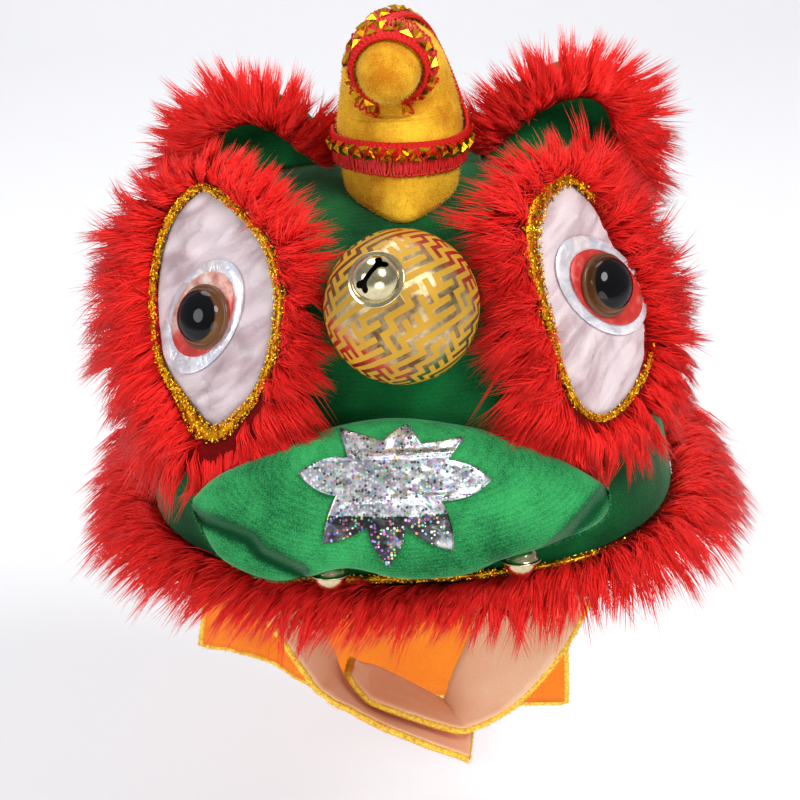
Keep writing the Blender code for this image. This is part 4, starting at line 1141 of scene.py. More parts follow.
def make_star(lip):
    """The foil star on the lip: two creases across it, and crumples that catch the light."""
    up, out = lip_directions()
    centre = Vector(STAR_CENTRE)

    def on_face(point):
        """The place just in front of the lip's face."""
        start = LIP_CENTRE + RIGHT * point.x + up * point.y + out * 0.05
        ridge = max(math.exp(-(((point.y - level) / 0.0007) ** 2)) for level in STAR_CREASES)
        crumple = noise.noise(Vector((point.x * 260, point.y * 340, 3)))
        return lip.ray_cast(start, -out)[0] + out * (STAR_LIFT + STAR_RIDGE * ridge + STAR_CRUMPLE * crumple)

    rim = star_rim()
    mesh = bmesh.new()
    verts = bmesh.ops.create_circle(mesh, segments=len(rim), radius=1)["verts"]
    edges = mesh.edges[:]
    place(verts, [on_face(centre.lerp(point, 1 / STAR_RINGS)) for point in rim])
    cap = bmesh.ops.edgeloop_fill(mesh, edges=edges)["faces"]
    bmesh.ops.poke(mesh, faces=cap)["verts"][0].co = on_face(centre)
    for ring in range(2, STAR_RINGS + 1):
        verts, edges = grow(mesh, verts, edges)
        place(verts, [on_face(centre.lerp(point, ring / STAR_RINGS)) for point in rim])
    made = piece("foil_star", mesh, "star_foil", "silver_foil", "star_patch")
    thicken(made, 0.0004)
    abs(area_of(rim))


def dropped(point, skin, gap=2 * GAP):
    """The place just above the head under or over a point."""
    return skin.ray_cast(Vector((point.x, point.y, 0.1)), -UP)[0] + UP * gap


def unwrap(mesh, uv_of):
    """Give a mesh a UV map, from the place of each corner."""
    layer = mesh.loops.layers.uv.new("UVMap")
    for face in mesh.faces:
        for loop in face.loops:
            loop[layer].uv = uv_of(loop.vert.co)


def cloth(across, down, shape, length=1.0):
    """A grid of cloth with a UV map: shape gives the place of a point from two shares between 0 and 1."""
    mesh = bmesh.new()
    bmesh.ops.create_grid(mesh, x_segments=across, y_segments=down, size=1)
    unwrap(mesh, lambda point: ((point.x + 1) / 2 * length, (point.y + 1) / 2))
    for vert in mesh.verts:
        vert.co = shape((vert.co.x + 1) / 2, (vert.co.y + 1) / 2)
    return mesh


def ear_rim(name):
    """The rim of an ear from the horn side outwards."""
    return [Vector((row[0], EAR_RIM_Y, row[1])) for row in spread(EAR_ROWS[name], EAR_ACROSS + 1)]


def make_ears(skin):
    """The cupped velvet ears, thinly padded."""
    for name, table in EAR_ROWS.items():
        rows = spread(table, EAR_ACROSS + 1)

        def shape(share, part):
            """A point of the ear, from its foot on the head up to its rim."""
            rim_x, rim_z, base_x = rows[round(share * EAR_ACROSS)]
            base = dropped(Vector((base_x, EAR_BASE_Y, 0)), skin, 5 * GAP)
            depth = EAR_CUP * math.sin(math.pi * share) * math.sin(math.pi * part * EAR_CUP_SPAN)
            pucker = 0.0006 * noise.noise(Vector((share * 9, part * 5, 1)))
            return base.lerp(Vector((rim_x, EAR_RIM_Y, rim_z)), part) + BACK * (depth + pucker)

        mesh = cloth(EAR_ACROSS, EAR_UP, shape)
        rest_on(mesh, skin, EAR_SHEET / 2 + 2 * GAP)
        ear = piece(f"ear_velvet_{name}", mesh, "head_pile", "green_velvet", f"ear_{name}")
        thicken(ear, EAR_SHEET)


def narrowed(turn, place_along):
    """How much of its width the horn keeps where its foot runs to a point in front."""
    down = 1 - min(1.0, max(0.0, place_along / HORN_NARROW_ROWS))
    return 1 - (HORN_TAPER + HORN_NARROW * max(0.0, -math.sin(turn)) ** 2) * down * down


def horn_point(place_along, turn, lift=0.0):
    """A point of the horn's surface: its place counts along the horn's rows, 90 degrees is up its back."""
    if place_along < 0:
        first, second = (horn_point(row, turn, lift) for row in (0.0, 0.25))
        return first + (first - second) * (-place_along / 0.25)
    x, y, z, radius = blend(HORN_ROWS, place_along)
    ahead = Vector(blend(HORN_ROWS, min(place_along + 0.1, len(HORN_ROWS) - 1))[:3])
    behind = Vector(blend(HORN_ROWS, max(place_along - 0.1, 0))[:3])
    along = (ahead - behind).normalized()
    back = along.cross(RIGHT).normalized()
    side = back.cross(along)
    way = side * math.cos(turn) * narrowed(turn, place_along) + back * math.sin(turn)
    return Vector((x, y, z)) + way * (radius + lift)


def horn_relief(place_along, turn):
    """The seam down the horn's front and the soft folds of its bend."""
    cosine, sine = math.cos(turn), math.sin(turn)
    seam = math.exp(-(((math.degrees(turn) - 264) / 3.0) ** 2))
    fold = max(0.0, math.sin(place_along * 6.5 + cosine)) ** 2 * max(0.0, -sine)
    folded = 0.0008 * fold * math.exp(-(((place_along - 4.6) / 1.3) ** 2))
    return -0.00045 * seam - folded - 0.0003 * wrinkle(1, place_along * 1.1, cosine * 1.6, sine * 1.6)


def make_horn(skin):
    """The stuffed horn, whose foot follows the crown down to a rounded front."""
    turns = turns_of(HORN_TURNS)
    centre_x, centre_y, radius = HORN_BASE
    foot = []
    for turn in turns:
        reach = radius + HORN_POINT * math.exp(-(((math.degrees(turn) - 270) / HORN_POINT_SPREAD) ** 2))
        across = reach * math.cos(turn) * narrowed(turn, 0) * HORN_FOOT_WIDTH
        foot.append(dropped(Vector((centre_x + across, centre_y + reach * math.sin(turn), 0)), skin, GAP))
    rings = [foot]
    first = [horn_point(0, turn) for turn in turns]
    for share in (0.12, 0.25, 0.4, 0.55, 0.7, 0.85):
        ring = [low.lerp(high, share) for low, high in zip(foot, first)]
        for point, low, high in zip(ring, foot, first):
            point.x = low.x + (high.x - low.x) * math.sin(share * math.pi / 2)
        rings.append(ring)
    for step in range(HORN_LEVELS):
        level = (len(HORN_ROWS) - 1) * step / (HORN_LEVELS - 1)
        rings.append([horn_point(level, turn, horn_relief(level, turn)) for turn in turns])
    middle = dropped(Vector((centre_x, centre_y, 0)), skin)
    made = piece("horn_velvet", loft(rings, tips=(middle, Vector(HORN_TIP))), "horn_pile", "yellow_velvet", "horn")
    nap("horn_nap", made, 9500, 0.0009, "yellow_pile", "yellow_velvet", SEED + 80)
    return made


class BraidPlace:
    """One place along the braid: its middle on the horn, and how it climbs."""

    def __init__(self, rows, index):
        before = rows[max(index - 1, 0)]
        after = rows[min(index + 1, len(rows) - 1)]
        self.turn, self.level = math.radians(rows[index][0]), rows[index][1]
        self.radius = blend(HORN_ROWS, self.level)[3]
        above, below = (Vector(blend(HORN_ROWS, max(0.0, self.level + part))[:3]) for part in (0.5, -0.5))
        self.row_length = (above - below).length / min(1.0, 0.5 + self.level)
        turned = self.radius * math.radians(after[0] - before[0])
        self.climb = Vector((turned, self.row_length * (after[1] - before[1]))).normalized()

    def at(self, side, lift):
        """A point over the horn, a distance up from the braid's middle line."""
        up = self.level + side * self.climb.x / self.row_length
        return horn_point(up, self.turn - side * self.climb.y / self.radius, lift)


def braid_places(run, count):
    """Places at nearly even distances along one run of the braid, and the length of the run."""
    fine = spread(run, 4 * count)
    lengths = running([horn_point(level, math.radians(turn)) for turn, level in fine])
    rows = [fine[leg] for leg, _ in marks(lengths, count, count - 1)]
    return [BraidPlace(rows, index) for index in range(count)], lengths[-1]


def arrays_of(mesh):
    """The points and the triangles of a small shape as arrays."""
    mesh.verts.index_update()
    points = np.array([vert.co[:] for vert in mesh.verts])
    faces = np.array([[vert.index for vert in face.verts] for face in mesh.faces])
    mesh.free()
    return points, faces


def scattered(name, template, matrices):
    """Copies of a small shape, joined in one mesh, each point with its copy's own shade."""
    bmesh.ops.triangulate(template, faces=template.faces)
    points, faces = arrays_of(template)
    turns = np.array([[row[:3] for row in matrix[:3]] for matrix in matrices])
    shifts = np.array([matrix.translation[:] for matrix in matrices])
    placed = np.einsum("nij,kj->nki", turns, points) + shifts[:, None, :]
    shades = np.repeat(np.random.default_rng(SEED).random(len(matrices)), len(points))
    return mesh_of(name, placed, faces, shade=shades)


def mesh_of(name, points, faces, **numbers):
    """An object from the points of many copies of a shape and its triangles, with numbers kept on its points."""
    copies, stride = points.shape[:2]
    joined = faces[None, :, :] + np.arange(copies)[:, None, None] * stride
    data = bpy.data.meshes.new(name)
    data.vertices.add(copies * stride)
    data.vertices.foreach_set("co", points.astype(np.float32).ravel())
    data.loops.add(joined.size)
    data.loops.foreach_set("vertex_index", joined.astype(np.int32).ravel())
    data.polygons.add(joined.size // 3)
    data.polygons.foreach_set("loop_start", np.arange(0, joined.size, 3, dtype=np.int32))
    data.update(calc_edges=True)
    data.validate()
    for key, values in numbers.items():
        layer = data.attributes.new(key, "FLOAT", "POINT")
        layer.data.foreach_set("value", values.astype(np.float32))
    data.shade_smooth()
    return bpy.data.objects.new(name, data)


def standing(middle, along, across, out):
    """A matrix that puts a small shape on a surface: x along, y across, z out."""
    return Matrix.Translation(middle) @ Matrix((along, across, out)).transposed().to_4x4()


def picot():
    """One thread loop of the braid's edge, lying from its root towards -y."""
    rings = []
    for turn in turns_of(14):
        middle = Vector((PICOT_WIDTH / 2 * math.cos(turn), -PICOT_LENGTH / 2 * (1 + math.sin(turn)), 0))
        side = Vector((math.cos(turn), -math.sin(turn), 0)).normalized()
        rings.append(ring_round(middle, side, UP, PICOT_THREAD, 5))
    return loft(rings, closed=True)


def spangle():
    """One fold of the gold zigzag: a low pyramid over a triangle."""
    mesh = bmesh.new()
    bmesh.ops.create_cone(mesh, segments=3, radius1=1, radius2=0, depth=1, cap_ends=True)
    bmesh.ops.translate(mesh, verts=mesh.verts, vec=(0, -0.25, 0.5))
    bmesh.ops.scale(mesh, verts=mesh.verts, vec=(SPANGLE_LENGTH / 1.732, SPANGLE_WIDTH / 1.5, SPANGLE_HEIGHT))
    return mesh


def make_braid(horn):
    """The braid in two runs: a woven red band, a gold zigzag along its edge and a looped red fringe below it."""
    rng = np.random.default_rng(SEED)
    folds, loops = [], []

    def laid(point, lift):
        """The place over the horn nearest to a point, and the way out of the horn there."""
        near, normal, _, _ = horn.find_nearest(point)
        return near + normal * lift, normal

    def seat(spot, side, lift, lean):
        """A matrix that lays a small shape on the horn, with y across the braid."""
        middle, out = laid(spot.at(side, lift), lift)
        above, _ = laid(spot.at(side + 0.002, lift), lift)
        across = (above - middle).normalized()
        return standing(middle, across.cross(out), across, out) @ lean

    def turned(axis, low, high, start=0.0):
        """A turn of one copy, from where it starts by a little chance."""
        return Matrix.Rotation(start + rng.uniform(low, high), 4, axis)

    for run, rows in enumerate((BRAID_ROWS, RING_ROWS)):
        steps = BRAID_STEPS[run]
        places, length = braid_places(rows, steps)

        def band(share, part):
            """A point of the band between its looped edge and its plain one."""
            spot = places[round(share * (steps - 1))]
            rib = abs(math.sin(math.pi * (share * length / BRAID_RIB + abs(part - 0.5))))
            bulge = 0.0004 * math.sin(math.pi * part) + 0.0004 * rib
            return laid(spot.at(BRAID_WIDTH * (-0.06 + 0.48 * part), BRAID_LIFT), BRAID_LIFT + bulge)[0]

        mesh = cloth(steps - 1, 8, band, length)
        node = "" if run else "horn_braid"
        thicken(piece(f"horn_braid_band_{run}", mesh, "braid_weave", "red_braid", node), 0.0009)

        for index, spot in enumerate(braid_places(rows, round(length / SPANGLE_PITCH))[0]):
            low = index % 2
            way = 1 if low else -1
            tilt = turned("X", -0.06, 0.06, 0.30 * way) @ turned("Y", -0.08, 0.08)
            tilt = tilt @ turned("Z", -0.04, 0.04, math.pi * low)
            folds.append(seat(spot, SPANGLE_STEP * way, BRAID_LIFT + (0.0009 if low else 0.0013), tilt))
        for spot in braid_places(rows, round(length / PICOT_PITCH))[0]:
            lean = turned("Z", -0.05, 0.05) @ turned("X", -0.02, 0.08)
            loops.append(seat(spot, -0.08 * BRAID_WIDTH, BRAID_LIFT + 0.0002 * (len(loops) % 2), lean))

    zigzag = dressed(scattered("horn_braid_zigzag", spangle(), folds), "gold_zigzag", "gold_tinsel")
    zigzag.data.shade_flat()
    dressed(scattered("horn_braid_loops", picot(), loops), "red_loops", "red_braid")


def make_ball(skin):
    """The brocade ball, flattened where it is sewn to the face, with its fret laid round its front."""
    lean = math.radians(FRET_LEAN)
    upright = RIGHT.cross(-FRET_FACING)

    def laid_flat(point):
        """The place of a point on the fret's flat cloth."""
        way = (point - BALL_CENTRE).normalized()
        away = math.acos(max(-1.0, min(1.0, way.dot(FRET_FACING))))
        flat = Vector((way.x, way.dot(upright)))
        flat = flat.normalized() * away * BALL_RADIUS / FRET_PITCH if flat.length > 1e-6 else flat
        return (
            flat.x * math.cos(lean) + flat.y * math.sin(lean) + FRET_START,
            flat.y * math.cos(lean) - flat.x * math.sin(lean) + FRET_START,
        )

    mesh = bmesh.new()
    bmesh.ops.create_uvsphere(mesh, u_segments=72, v_segments=40, radius=BALL_RADIUS)
    bmesh.ops.translate(mesh, verts=mesh.verts, vec=BALL_CENTRE)
    unwrap(mesh, laid_flat)
    for vert in mesh.verts:
        way = (vert.co - BALL_CENTRE).normalized()
        vert.co = vert.co - way * 0.0003 * wrinkle(3.0, *way)
    rest_on(mesh, skin, 3 * GAP)
    piece("brocade_ball", mesh, "ball_brocade", "gold_brocade", "nose_ball")


def slot_outline(radius):
    """A bell's slot in the shape of a small bone."""
    half = [*SLOT, *((x, -y) for x, y in reversed(SLOT))]
    return [(x * radius, y * radius) for x, y in half + [(-x, -y) for x, y in half]]


def spun(profile, centre, axis, across, steps=SPIN_STEPS):
    """A turned shape: its profile gives the distance from the axis and the height of each point."""
    mesh = bmesh.new()
    verts = [mesh.verts.new(centre + across * reach + axis * height) for reach, height in profile]
    edges = [mesh.edges.new(pair) for pair in zip(verts, verts[1:])]
    bmesh.ops.spin(
        mesh, geom=verts + edges, cent=centre, axis=axis, angle=2 * math.pi, steps=steps, use_merge=True
    )
    bmesh.ops.remove_doubles(mesh, verts=mesh.verts, dist=1e-6)
    bmesh.ops.recalc_face_normals(mesh, faces=mesh.faces)
    return mesh


def cutter(name, mesh):
    """A shape that is taken away from another."""
    return linked(object_of(name, mesh, smooth=False))


def make_bell(node, centre, facing, slot_way, size):
    """A hollow jingle bell of two domes, with a rolled flange where they meet and a slot in the front dome."""
    radius, flange = size
    across = (slot_way - facing * slot_way.dot(facing)).normalized()
    up = facing.cross(across)
    half = BELL_FLANGE / 2
    tilts = [math.radians(90 * step / 14) for step in range(1, 15)]
    dome = [(radius * math.cos(tilt), radius * math.sin(tilt)) for tilt in tilts]
    roll = [(flange - half * (1 - math.cos(t)), half * math.sin(t)) for t in (-1.2, -0.6, 0, 0.6, 1.2)]
    profile = [(max(reach, 0.0), -height) for reach, height in reversed(dome)]
    profile += [(radius + 0.0002, -half), *roll, (radius + 0.0002, half), *dome]
    mesh = spun(profile, centre, facing, across)
    body = piece(f"{node}_shell", mesh, "bell_gilt bell_inside", "gilt_metal", node)

    hollow = bmesh.new()
    bmesh.ops.create_uvsphere(hollow, u_segments=32, v_segments=20, radius=radius - BELL_WALL)
    bmesh.ops.translate(hollow, verts=hollow.verts, vec=centre)
    rims = (
        [centre + across * x + up * y + facing * (level * radius) for x, y in slot_outline(radius)]
        for level in (0.3, 1.3)
    )
    helpers = [cutter("hollow", hollow), cutter("bar", loft(list(rims)))]
    for helper in helpers:
        cut = body.modifiers.new(helper.name, "BOOLEAN")
        cut.operation = "DIFFERENCE"
        cut.solver = "EXACT"
        cut.object = helper
    bpy.context.view_layer.update()
    shaped = bpy.data.meshes.new_from_object(body.evaluated_get(bpy.context.evaluated_depsgraph_get()))
    body.modifiers.clear()
    body.data = shaped
    for helper in helpers:
        bpy.data.objects.remove(helper)
    # Faces inside the bell take the near-black finish, which is painted shade.
    for face in shaped.polygons:
        if (face.center - centre).length < radius - BELL_WALL * 0.6:
            face.material_index = 1
    sharpen(body, 40)


def make_panel(name, eye_frame, eye):
    """A padded satin panel with soft wrinkles that run out from the eye."""
    outline = round_outline(eye["outline"], PANEL_TURNS)
    middle = sum(outline, Vector()) / len(outline)
    hem = [point + way * PANEL_HEM for point, way in zip(outline, outward(outline))]
    rings = [[eye_frame.at(point.x, point.y, level) for point in hem] for level in (GAP - EYE_BED, -0.0030)]
    across, up, half_length, half_width, lean = eye["foil"]
    along = Vector((math.cos(math.radians(lean)), math.sin(math.radians(lean)), 0))

    def height(point, share):
        """The panel is full in its middle, drops at its edge and wrinkles round the foil."""
        away = point - Vector((across, up, 0))
        reach = math.hypot(away.dot(along) / half_length, away.cross(along).z / half_width)
        free = min(1.0, max(0.0, (reach - 1.05) / 0.35)) * min(1.0, (1 - share) / 0.12)
        turn = math.atan2(away.y, away.x)
        fold = noise.noise(Vector((math.cos(turn) * 3.2, math.sin(turn) * 3.2, reach * 0.6 + eye["side"])))
        run, over = point.x * 0.80 + point.y * 0.60, point.y * 0.80 - point.x * 0.60
        crease = 0.5 - abs(noise.noise(Vector((run * 30, over * 135, 3 + eye["side"]))))
        return -0.0013 * share**8 + free * (0.0022 * fold + 0.0360 * crease**4)

    for step in range(PANEL_RINGS):
        share = 1 - step / PANEL_RINGS
        rings.append([eye_frame.at(p.x, p.y, height(p, share)) for p in (middle.lerp(q, share) for q in outline)])
    mesh = loft(rings, tips=(None, eye_frame.at(middle.x, middle.y, 0)))
    piece(f"eye_satin_{name}", mesh, "eye_satin", "white_satin", f"eye_panel_{name}")


def oval(centre_across, centre_up, half_length, half_width, lean):
    """Points round a leaning oval in the eye's plane."""
    along = Vector((math.cos(math.radians(lean)), math.sin(math.radians(lean))))
    side = Vector((-along.y, along.x))
    centre = Vector((centre_across, centre_up))
    turns = turns_of(OVAL_TURNS)
    return [centre + (along * (half_length * math.cos(t)) + side * (half_width * math.sin(t))) for t in turns]


def make_foils(name, eye_frame, eye):
    """The silver oval and the red one on it. It gives back the height of the red one's face."""
    height = GAP
    for part, finish, slot in (("foil", "eye_silver", "silver_foil"), ("ring", "eye_red", "red_foil")):
        across, up, long_half, short_half, lean = eye[part]
        rings = []
        for grown, level in ((-0.0001, 0.0), (0.0, 0.0001), (0.0, 0.0004), (-0.0001, 0.0005)):
            rim = oval(across, up, long_half + grown, short_half + grown, lean)
            rings.append([eye_frame.at(x, y, height + level) for x, y in rim])
        for share in (0.85, 0.7, 0.55, 0.4, 0.2):
            ring = []
            for x, y in oval(across, up, long_half * share, short_half * share, lean):
                buckle = 0.00008 * noise.noise(Vector((x * 300, y * 300, share)))
                ring.append(eye_frame.at(x, y, height + 0.0005 + buckle))
            rings.append(ring)
        sharpen(piece(f"eye_{part}_oval_{name}", loft(rings), finish, slot, f"eye_{part}_{name}"), 50)
        height += 0.0005 + GAP
    return height


def make_dome(name, eye_frame, eye, height):
    """The plastic eye: a clear brown dome over a black pupil, in a narrow rim."""
    across, up, radius = eye["dome"]
    centre = eye_frame.at(across, up, height)

    def out_and_lit(point):
        """How far a point lies from the middle, and how much of the light side's brown it has."""
        away = point - centre
        away -= eye_frame.out * away.dot(eye_frame.out)
        lit = 0.5 + 0.5 * away.normalized().dot(LOWER_RIGHT) if away.length > 1e-6 else 0.5
        return min(0.999, away.length / radius), lit

    profile = [(0.0, 0.0), *((reach * radius, rise) for reach, rise in DOME_PROFILE), (0.0, DOME_TOP)]
    mesh = spun(profile, centre, eye_frame.out, eye_frame.across)
    unwrap(mesh, out_and_lit)
    sharpen(piece(f"eye_plastic_{name}", mesh, "eye_plastic", "brown_plastic", f"eye_dome_{name}"), 55)


def near_turn(point, middle, spread_of_turn):
    """How near a point round an eye lies to a place in degrees, from 1 there down to 0."""
    turn = (math.degrees(math.atan2(point.y, point.x)) - middle + 180) % 360 - 180
    return math.exp(-((turn / spread_of_turn) ** 2))


def widen(eye, point):
    """The width of the tinsel cord at a point of the outline: it is bunched or thin in places."""
    return TINSEL_WIDTH + sum(extra * near_turn(point, middle, wide) for middle, extra, wide in eye["bunches"])


def sizes():
    """The sizes and counts that a user may change."""
    return bpy.context.scene.lion_costume


def flake():
    """One glitter flake: a thin leaf of eight faces."""
    mesh = bmesh.new()
    bmesh.ops.create_cone(mesh, segments=4, radius1=1, radius2=0, depth=0.25, cap_ends=False)
    bmesh.ops.translate(mesh, verts=mesh.verts, vec=(0, 0, 0.125))
    bmesh.ops.mirror(mesh, geom=mesh.verts[:] + mesh.edges[:] + mesh.faces[:], axis="Z", merge_dist=1e-4)
    bmesh.ops.scale(mesh, verts=mesh.verts, vec=(1.0, 0.45, 1.0))
    bmesh.ops.recalc_face_normals(mesh, faces=mesh.faces)
    return mesh


def flakes_round(places, name, node):
    """Glitter flakes scattered over a cord: places give its middle, direction, sides, width and height."""
    rng = np.random.default_rng(SEED)
    seats = []
    for _ in range(sizes().tinsel_flakes):
        spot, along, side, out, width, height = places[int(rng.random() * len(places))]
        turn = rng.uniform(-0.35, math.pi + 0.35)
        swell = rng.uniform(0.75, 1.12)
        shift = side * (width / 2 * swell * math.cos(turn)) + out * (height / 2 * swell * math.sin(turn))
        middle = spot + shift + along * rng.uniform(-0.0008, 0.0008)
        tilt = Matrix.Rotation(rng.uniform(0, math.pi), 3, "Z") @ Matrix.Rotation(rng.uniform(-0.9, 0.9), 3, "X")
        face = Matrix((along, side, out)).transposed() @ tilt
        seats.append(Matrix.Translation(middle) @ (face * sizes().flake_size * rng.uniform(0.6, 1.25)).to_4x4())
    dressed(scattered(name, flake(), seats), "tinsel_glitter", "gold_tinsel", node).data.shade_flat()


def make_eye_tinsel(name, eye_frame, eye):
    """Gold tinsel round the white panel: flakes over a core that is painted dark as shade."""
    outline = round_outline(eye["outline"], 160)
    rings, places = [], []
    for index, (point, way) in enumerate(zip(outline, outward(outline))):
        width = widen(eye, point)
        middle = point + way * (GAP + width / 2)
        ring = []
        for turn in turns_of(8):
            corner = middle + way * (width * 0.36 * math.cos(turn))
            ring.append(eye_frame.at(corner.x, corner.y, 0.0011 * math.sin(turn) - GAP))
        rings.append(ring)
        along = (outline[(index + 1) % len(outline)] - outline[index - 1]).normalized()
        level, run = ((eye_frame.across * w.x + eye_frame.up * w.y).normalized() for w in (way, along))
        places.append((eye_frame.at(middle.x, middle.y, -GAP), run, level, eye_frame.out, width, 0.0028))
    piece(f"tinsel_core_{name}", loft(rings, closed=True), "tinsel_core", "gold_tinsel")
    flakes_round(places, f"tinsel_flakes_{name}", f"eye_tinsel_{name}")


def brim_path(height, out, count):
    """Points round the rim at one level, from the left side past the front to the right side."""
    start, end = BRIM_SPAN
    row = head_row(height)
    fine = [head_point(row, start + (end - start) * step / 480, out) for step in range(481)]
    return even(fine, count)


def sideways(path, index):
    """The level direction away from the head, and the way along, at one point of a path round it."""
    along = run_of(path, index)
    return Vector((along.y, -along.x, 0)), along


def make_brim_tinsel():
    """Gold tinsel along the upper edge of the brim's fur."""
    path = brim_path(BRIM_TINSEL_HEIGHT, BRIM_TINSEL_RADIUS + GAP, 240)
    rings, places = [], []
    for index, point in enumerate(path):
        way, along = sideways(path, index)
        rings.append(ring_round(point, way, UP, 0.0010))
        places.append((point, along, UP, way, 2 * BRIM_TINSEL_RADIUS, 2 * BRIM_TINSEL_RADIUS))
    piece("brim_tinsel_core", loft(rings), "tinsel_core", "gold_tinsel")
    flakes_round(places, "brim_tinsel_flakes", "brim_tinsel")


def strand_shape(stops):
    """One strand as arrays: each point's place along it and its offset from its middle, and its faces."""
    rings = [ring_round(UP * place_along, RIGHT, BACK, share, 3) for place_along, share in stops[:-1]]
    if len(rings) > 1:
        mesh = loft(rings, tips=(None, Vector((0, 0, stops[-1][0]))))
    else:
        mesh = bmesh.new()
        bmesh.ops.create_cone(mesh, segments=3, radius1=1, radius2=0, depth=1, cap_ends=True)
        bmesh.ops.translate(mesh, verts=mesh.verts, vec=(0, 0, 0.5))
    bmesh.ops.triangulate(mesh, faces=mesh.faces)
    bmesh.ops.recalc_face_normals(mesh, faces=mesh.faces)
    return arrays_of(mesh)


def strands(name, roots, bends, tips, radii, stops, shades):
    """Many tapered strands as one mesh: each runs from its root past a bend to its tip."""
    template, faces = strand_shape(stops)
    across, up, part = (template[:, axis][None, :, None] for axis in range(3))
    root, bend, tip = (points[:, None, :] for points in (roots, bends, tips))
    middle = root * (1 - part) ** 2 + bend * 2 * part * (1 - part) + tip * part**2
    way = unit((bend - root) * (1 - part) + (tip - bend) * part)
    aside = unit(np.cross(way, np.array([0.3, 0.2, 0.93])))
    points = middle + (aside * across + np.cross(way, aside) * up) * radii[:, None, None]
    along = np.tile(template[:, 2], len(roots))
    return mesh_of(name, points, faces, along=along, shade=np.repeat(shades, len(template)))


def unit(ways):
    """Directions of length one."""
    return ways / (np.linalg.norm(ways, axis=-1, keepdims=True) + 1e-12)


def kept_outside(points, tree, gap):
    """Points moved out of a surface where they lie just inside it."""
    for index, point in enumerate(points):
        here = Vector(point)
        near, normal, _, _ = tree.find_nearest(here, FUR_LOOK)
        if near is not None and (here - near).dot(normal) < gap:
            points[index] = here + normal * (gap - (here - near).dot(normal))
    return points


class FurBand:
    """A strip of long fur. Each row gives its root, the ways in which it reaches, lifts and runs, and its reach."""

    def __init__(self, rows, height, closed=False):
        columns = (np.array(column) for column in zip(*rows))
        self.roots, self.reach_ways, self.lift_ways, self.along_ways, self.reaches = columns
        self.height = height
        self.closed = closed

    def sample(self, values, places):
        """Values of the rows at places between 0 and 1 along the band."""
        count = len(values)
        where = places * (count if self.closed else count - 1)
        low = np.floor(where).astype(int)
        part = where - low
        part = part[:, None] if values.ndim == 2 else part
        second = (low + 1) % count if self.closed else np.minimum(low + 1, count - 1)
        return values[low % count] * (1 - part) + values[second] * part

    def lay(self, node, cut, count, trees, seed):
        """Lay the dense pile on the head, which is the first of the trees, and grow the strands over it."""
        rows = zip(self.roots, self.reach_ways, self.lift_ways, self.reaches)
        rings = [
            [Vector(root + way * (reach * a) + lift * (self.height * b)) for a, b in BED_SECTIONS]
            for root, way, lift, reach in rows
        ]
        mesh = loft(rings, closed=self.closed)
        rest_on(mesh, trees[0])
        piece(node.replace("fur", "fur_bed"), mesh, "fur_bed", "red_fur")
        dressed(self.grown(f"{node}_strands", cut, count, trees, seed), "fur_strands", "red_fur", node)

    def ends(self, cut, at, depth, turn, lift, long):
        """The root, bend and tip of strands at places along and across the band."""
        reach_way, lift_way, along_way = (
            unit(self.sample(ways, at)) for ways in (self.reach_ways, self.lift_ways, self.along_ways)
        )
        reach = self.sample(self.reaches, at)
        root = self.sample(self.roots, at) + reach_way * (reach * (0.38 * depth - 0.02))[:, None]
        rise = 0.20 * np.sin(np.pi * np.minimum(1.0, depth * 1.2)) - 0.15
        root = root + lift_way * (self.height * rise)[:, None]
        angle = cut.inner * (1 - depth) + cut.outer * depth + lift
        size = reach * (cut.short * (1 - depth) + cut.long * depth) * long
        combed = np.interp(at, *cut.comb) + turn
        flat = reach_way * np.cos(angle)[:, None] + along_way * combed[:, None] + np.array((0.0, 0.0, cut.droop))
        way = unit(flat + lift_way * np.sin(angle)[:, None])
        bend = root + unit(way + lift_way * 0.45) * (size * 0.5)[:, None]
        tip = root + unit(flat + lift_way * (np.sin(angle) * 0.45)[:, None]) * size[:, None]
        return root, bend, tip

    def grown(self, name, cut, count, trees, seed):
        """Strands in locks. Inner ones stand up and outer ones reach out and are combed along."""
        rng = np.random.default_rng(seed)
        lock_at, lock_depth = rng.random(cut.locks), rng.random(cut.locks)
        lock_turn = rng.normal(0, 0.26, cut.locks)
        lock_lift = rng.normal(0, 0.16, cut.locks)
        lock_long = rng.normal(1.0, 0.12, cut.locks)
        at = rng.random(count)
        depth = rng.random(count) ** 1.35
        apart = np.abs(at[:, None] - lock_at)
        if self.closed:
            apart = np.minimum(apart, 1 - apart)
        near = apart * len(self.roots) * cut.spacing + np.abs(depth[:, None] - lock_depth) * 0.5
        lock = near.argmin(axis=1)
        mixed = rng.uniform(0.10, 0.85, count)
        turn = lock_turn[lock] + rng.normal(0, 0.12, count)
        lift = lock_lift[lock] + rng.normal(0, 0.12, count)
        root, bend, tip = self.ends(cut, at, depth, turn, lift, lock_long[lock] * rng.uniform(0.62, 1.10, count))
        lock_tip = self.ends(cut, lock_at, lock_depth, lock_turn, lock_lift, lock_long)[2]
        pull = (lock_tip[lock] - tip) * mixed[:, None]
        pull *= np.minimum(1.0, cut.pull / (np.linalg.norm(pull, axis=1) + 1e-9))[:, None]
        tip = tip + pull
        bend = bend + pull * 0.35 + rng.normal(0, 0.0004, bend.shape)
        for tree in trees:
            bend = kept_outside(bend, tree, 0.0006)
            tip = kept_outside(tip, tree, 0.0004)
        radii = sizes().strand_width / 2 * rng.uniform(0.75, 1.25, count)
        shades = 0.5 + 0.22 * rng.normal(size=count) + 0.18 * rng.normal(size=cut.locks)[lock]
        return strands(name, root, bend, tip, radii, FUR_STOPS, np.clip(shades, 0, 1))


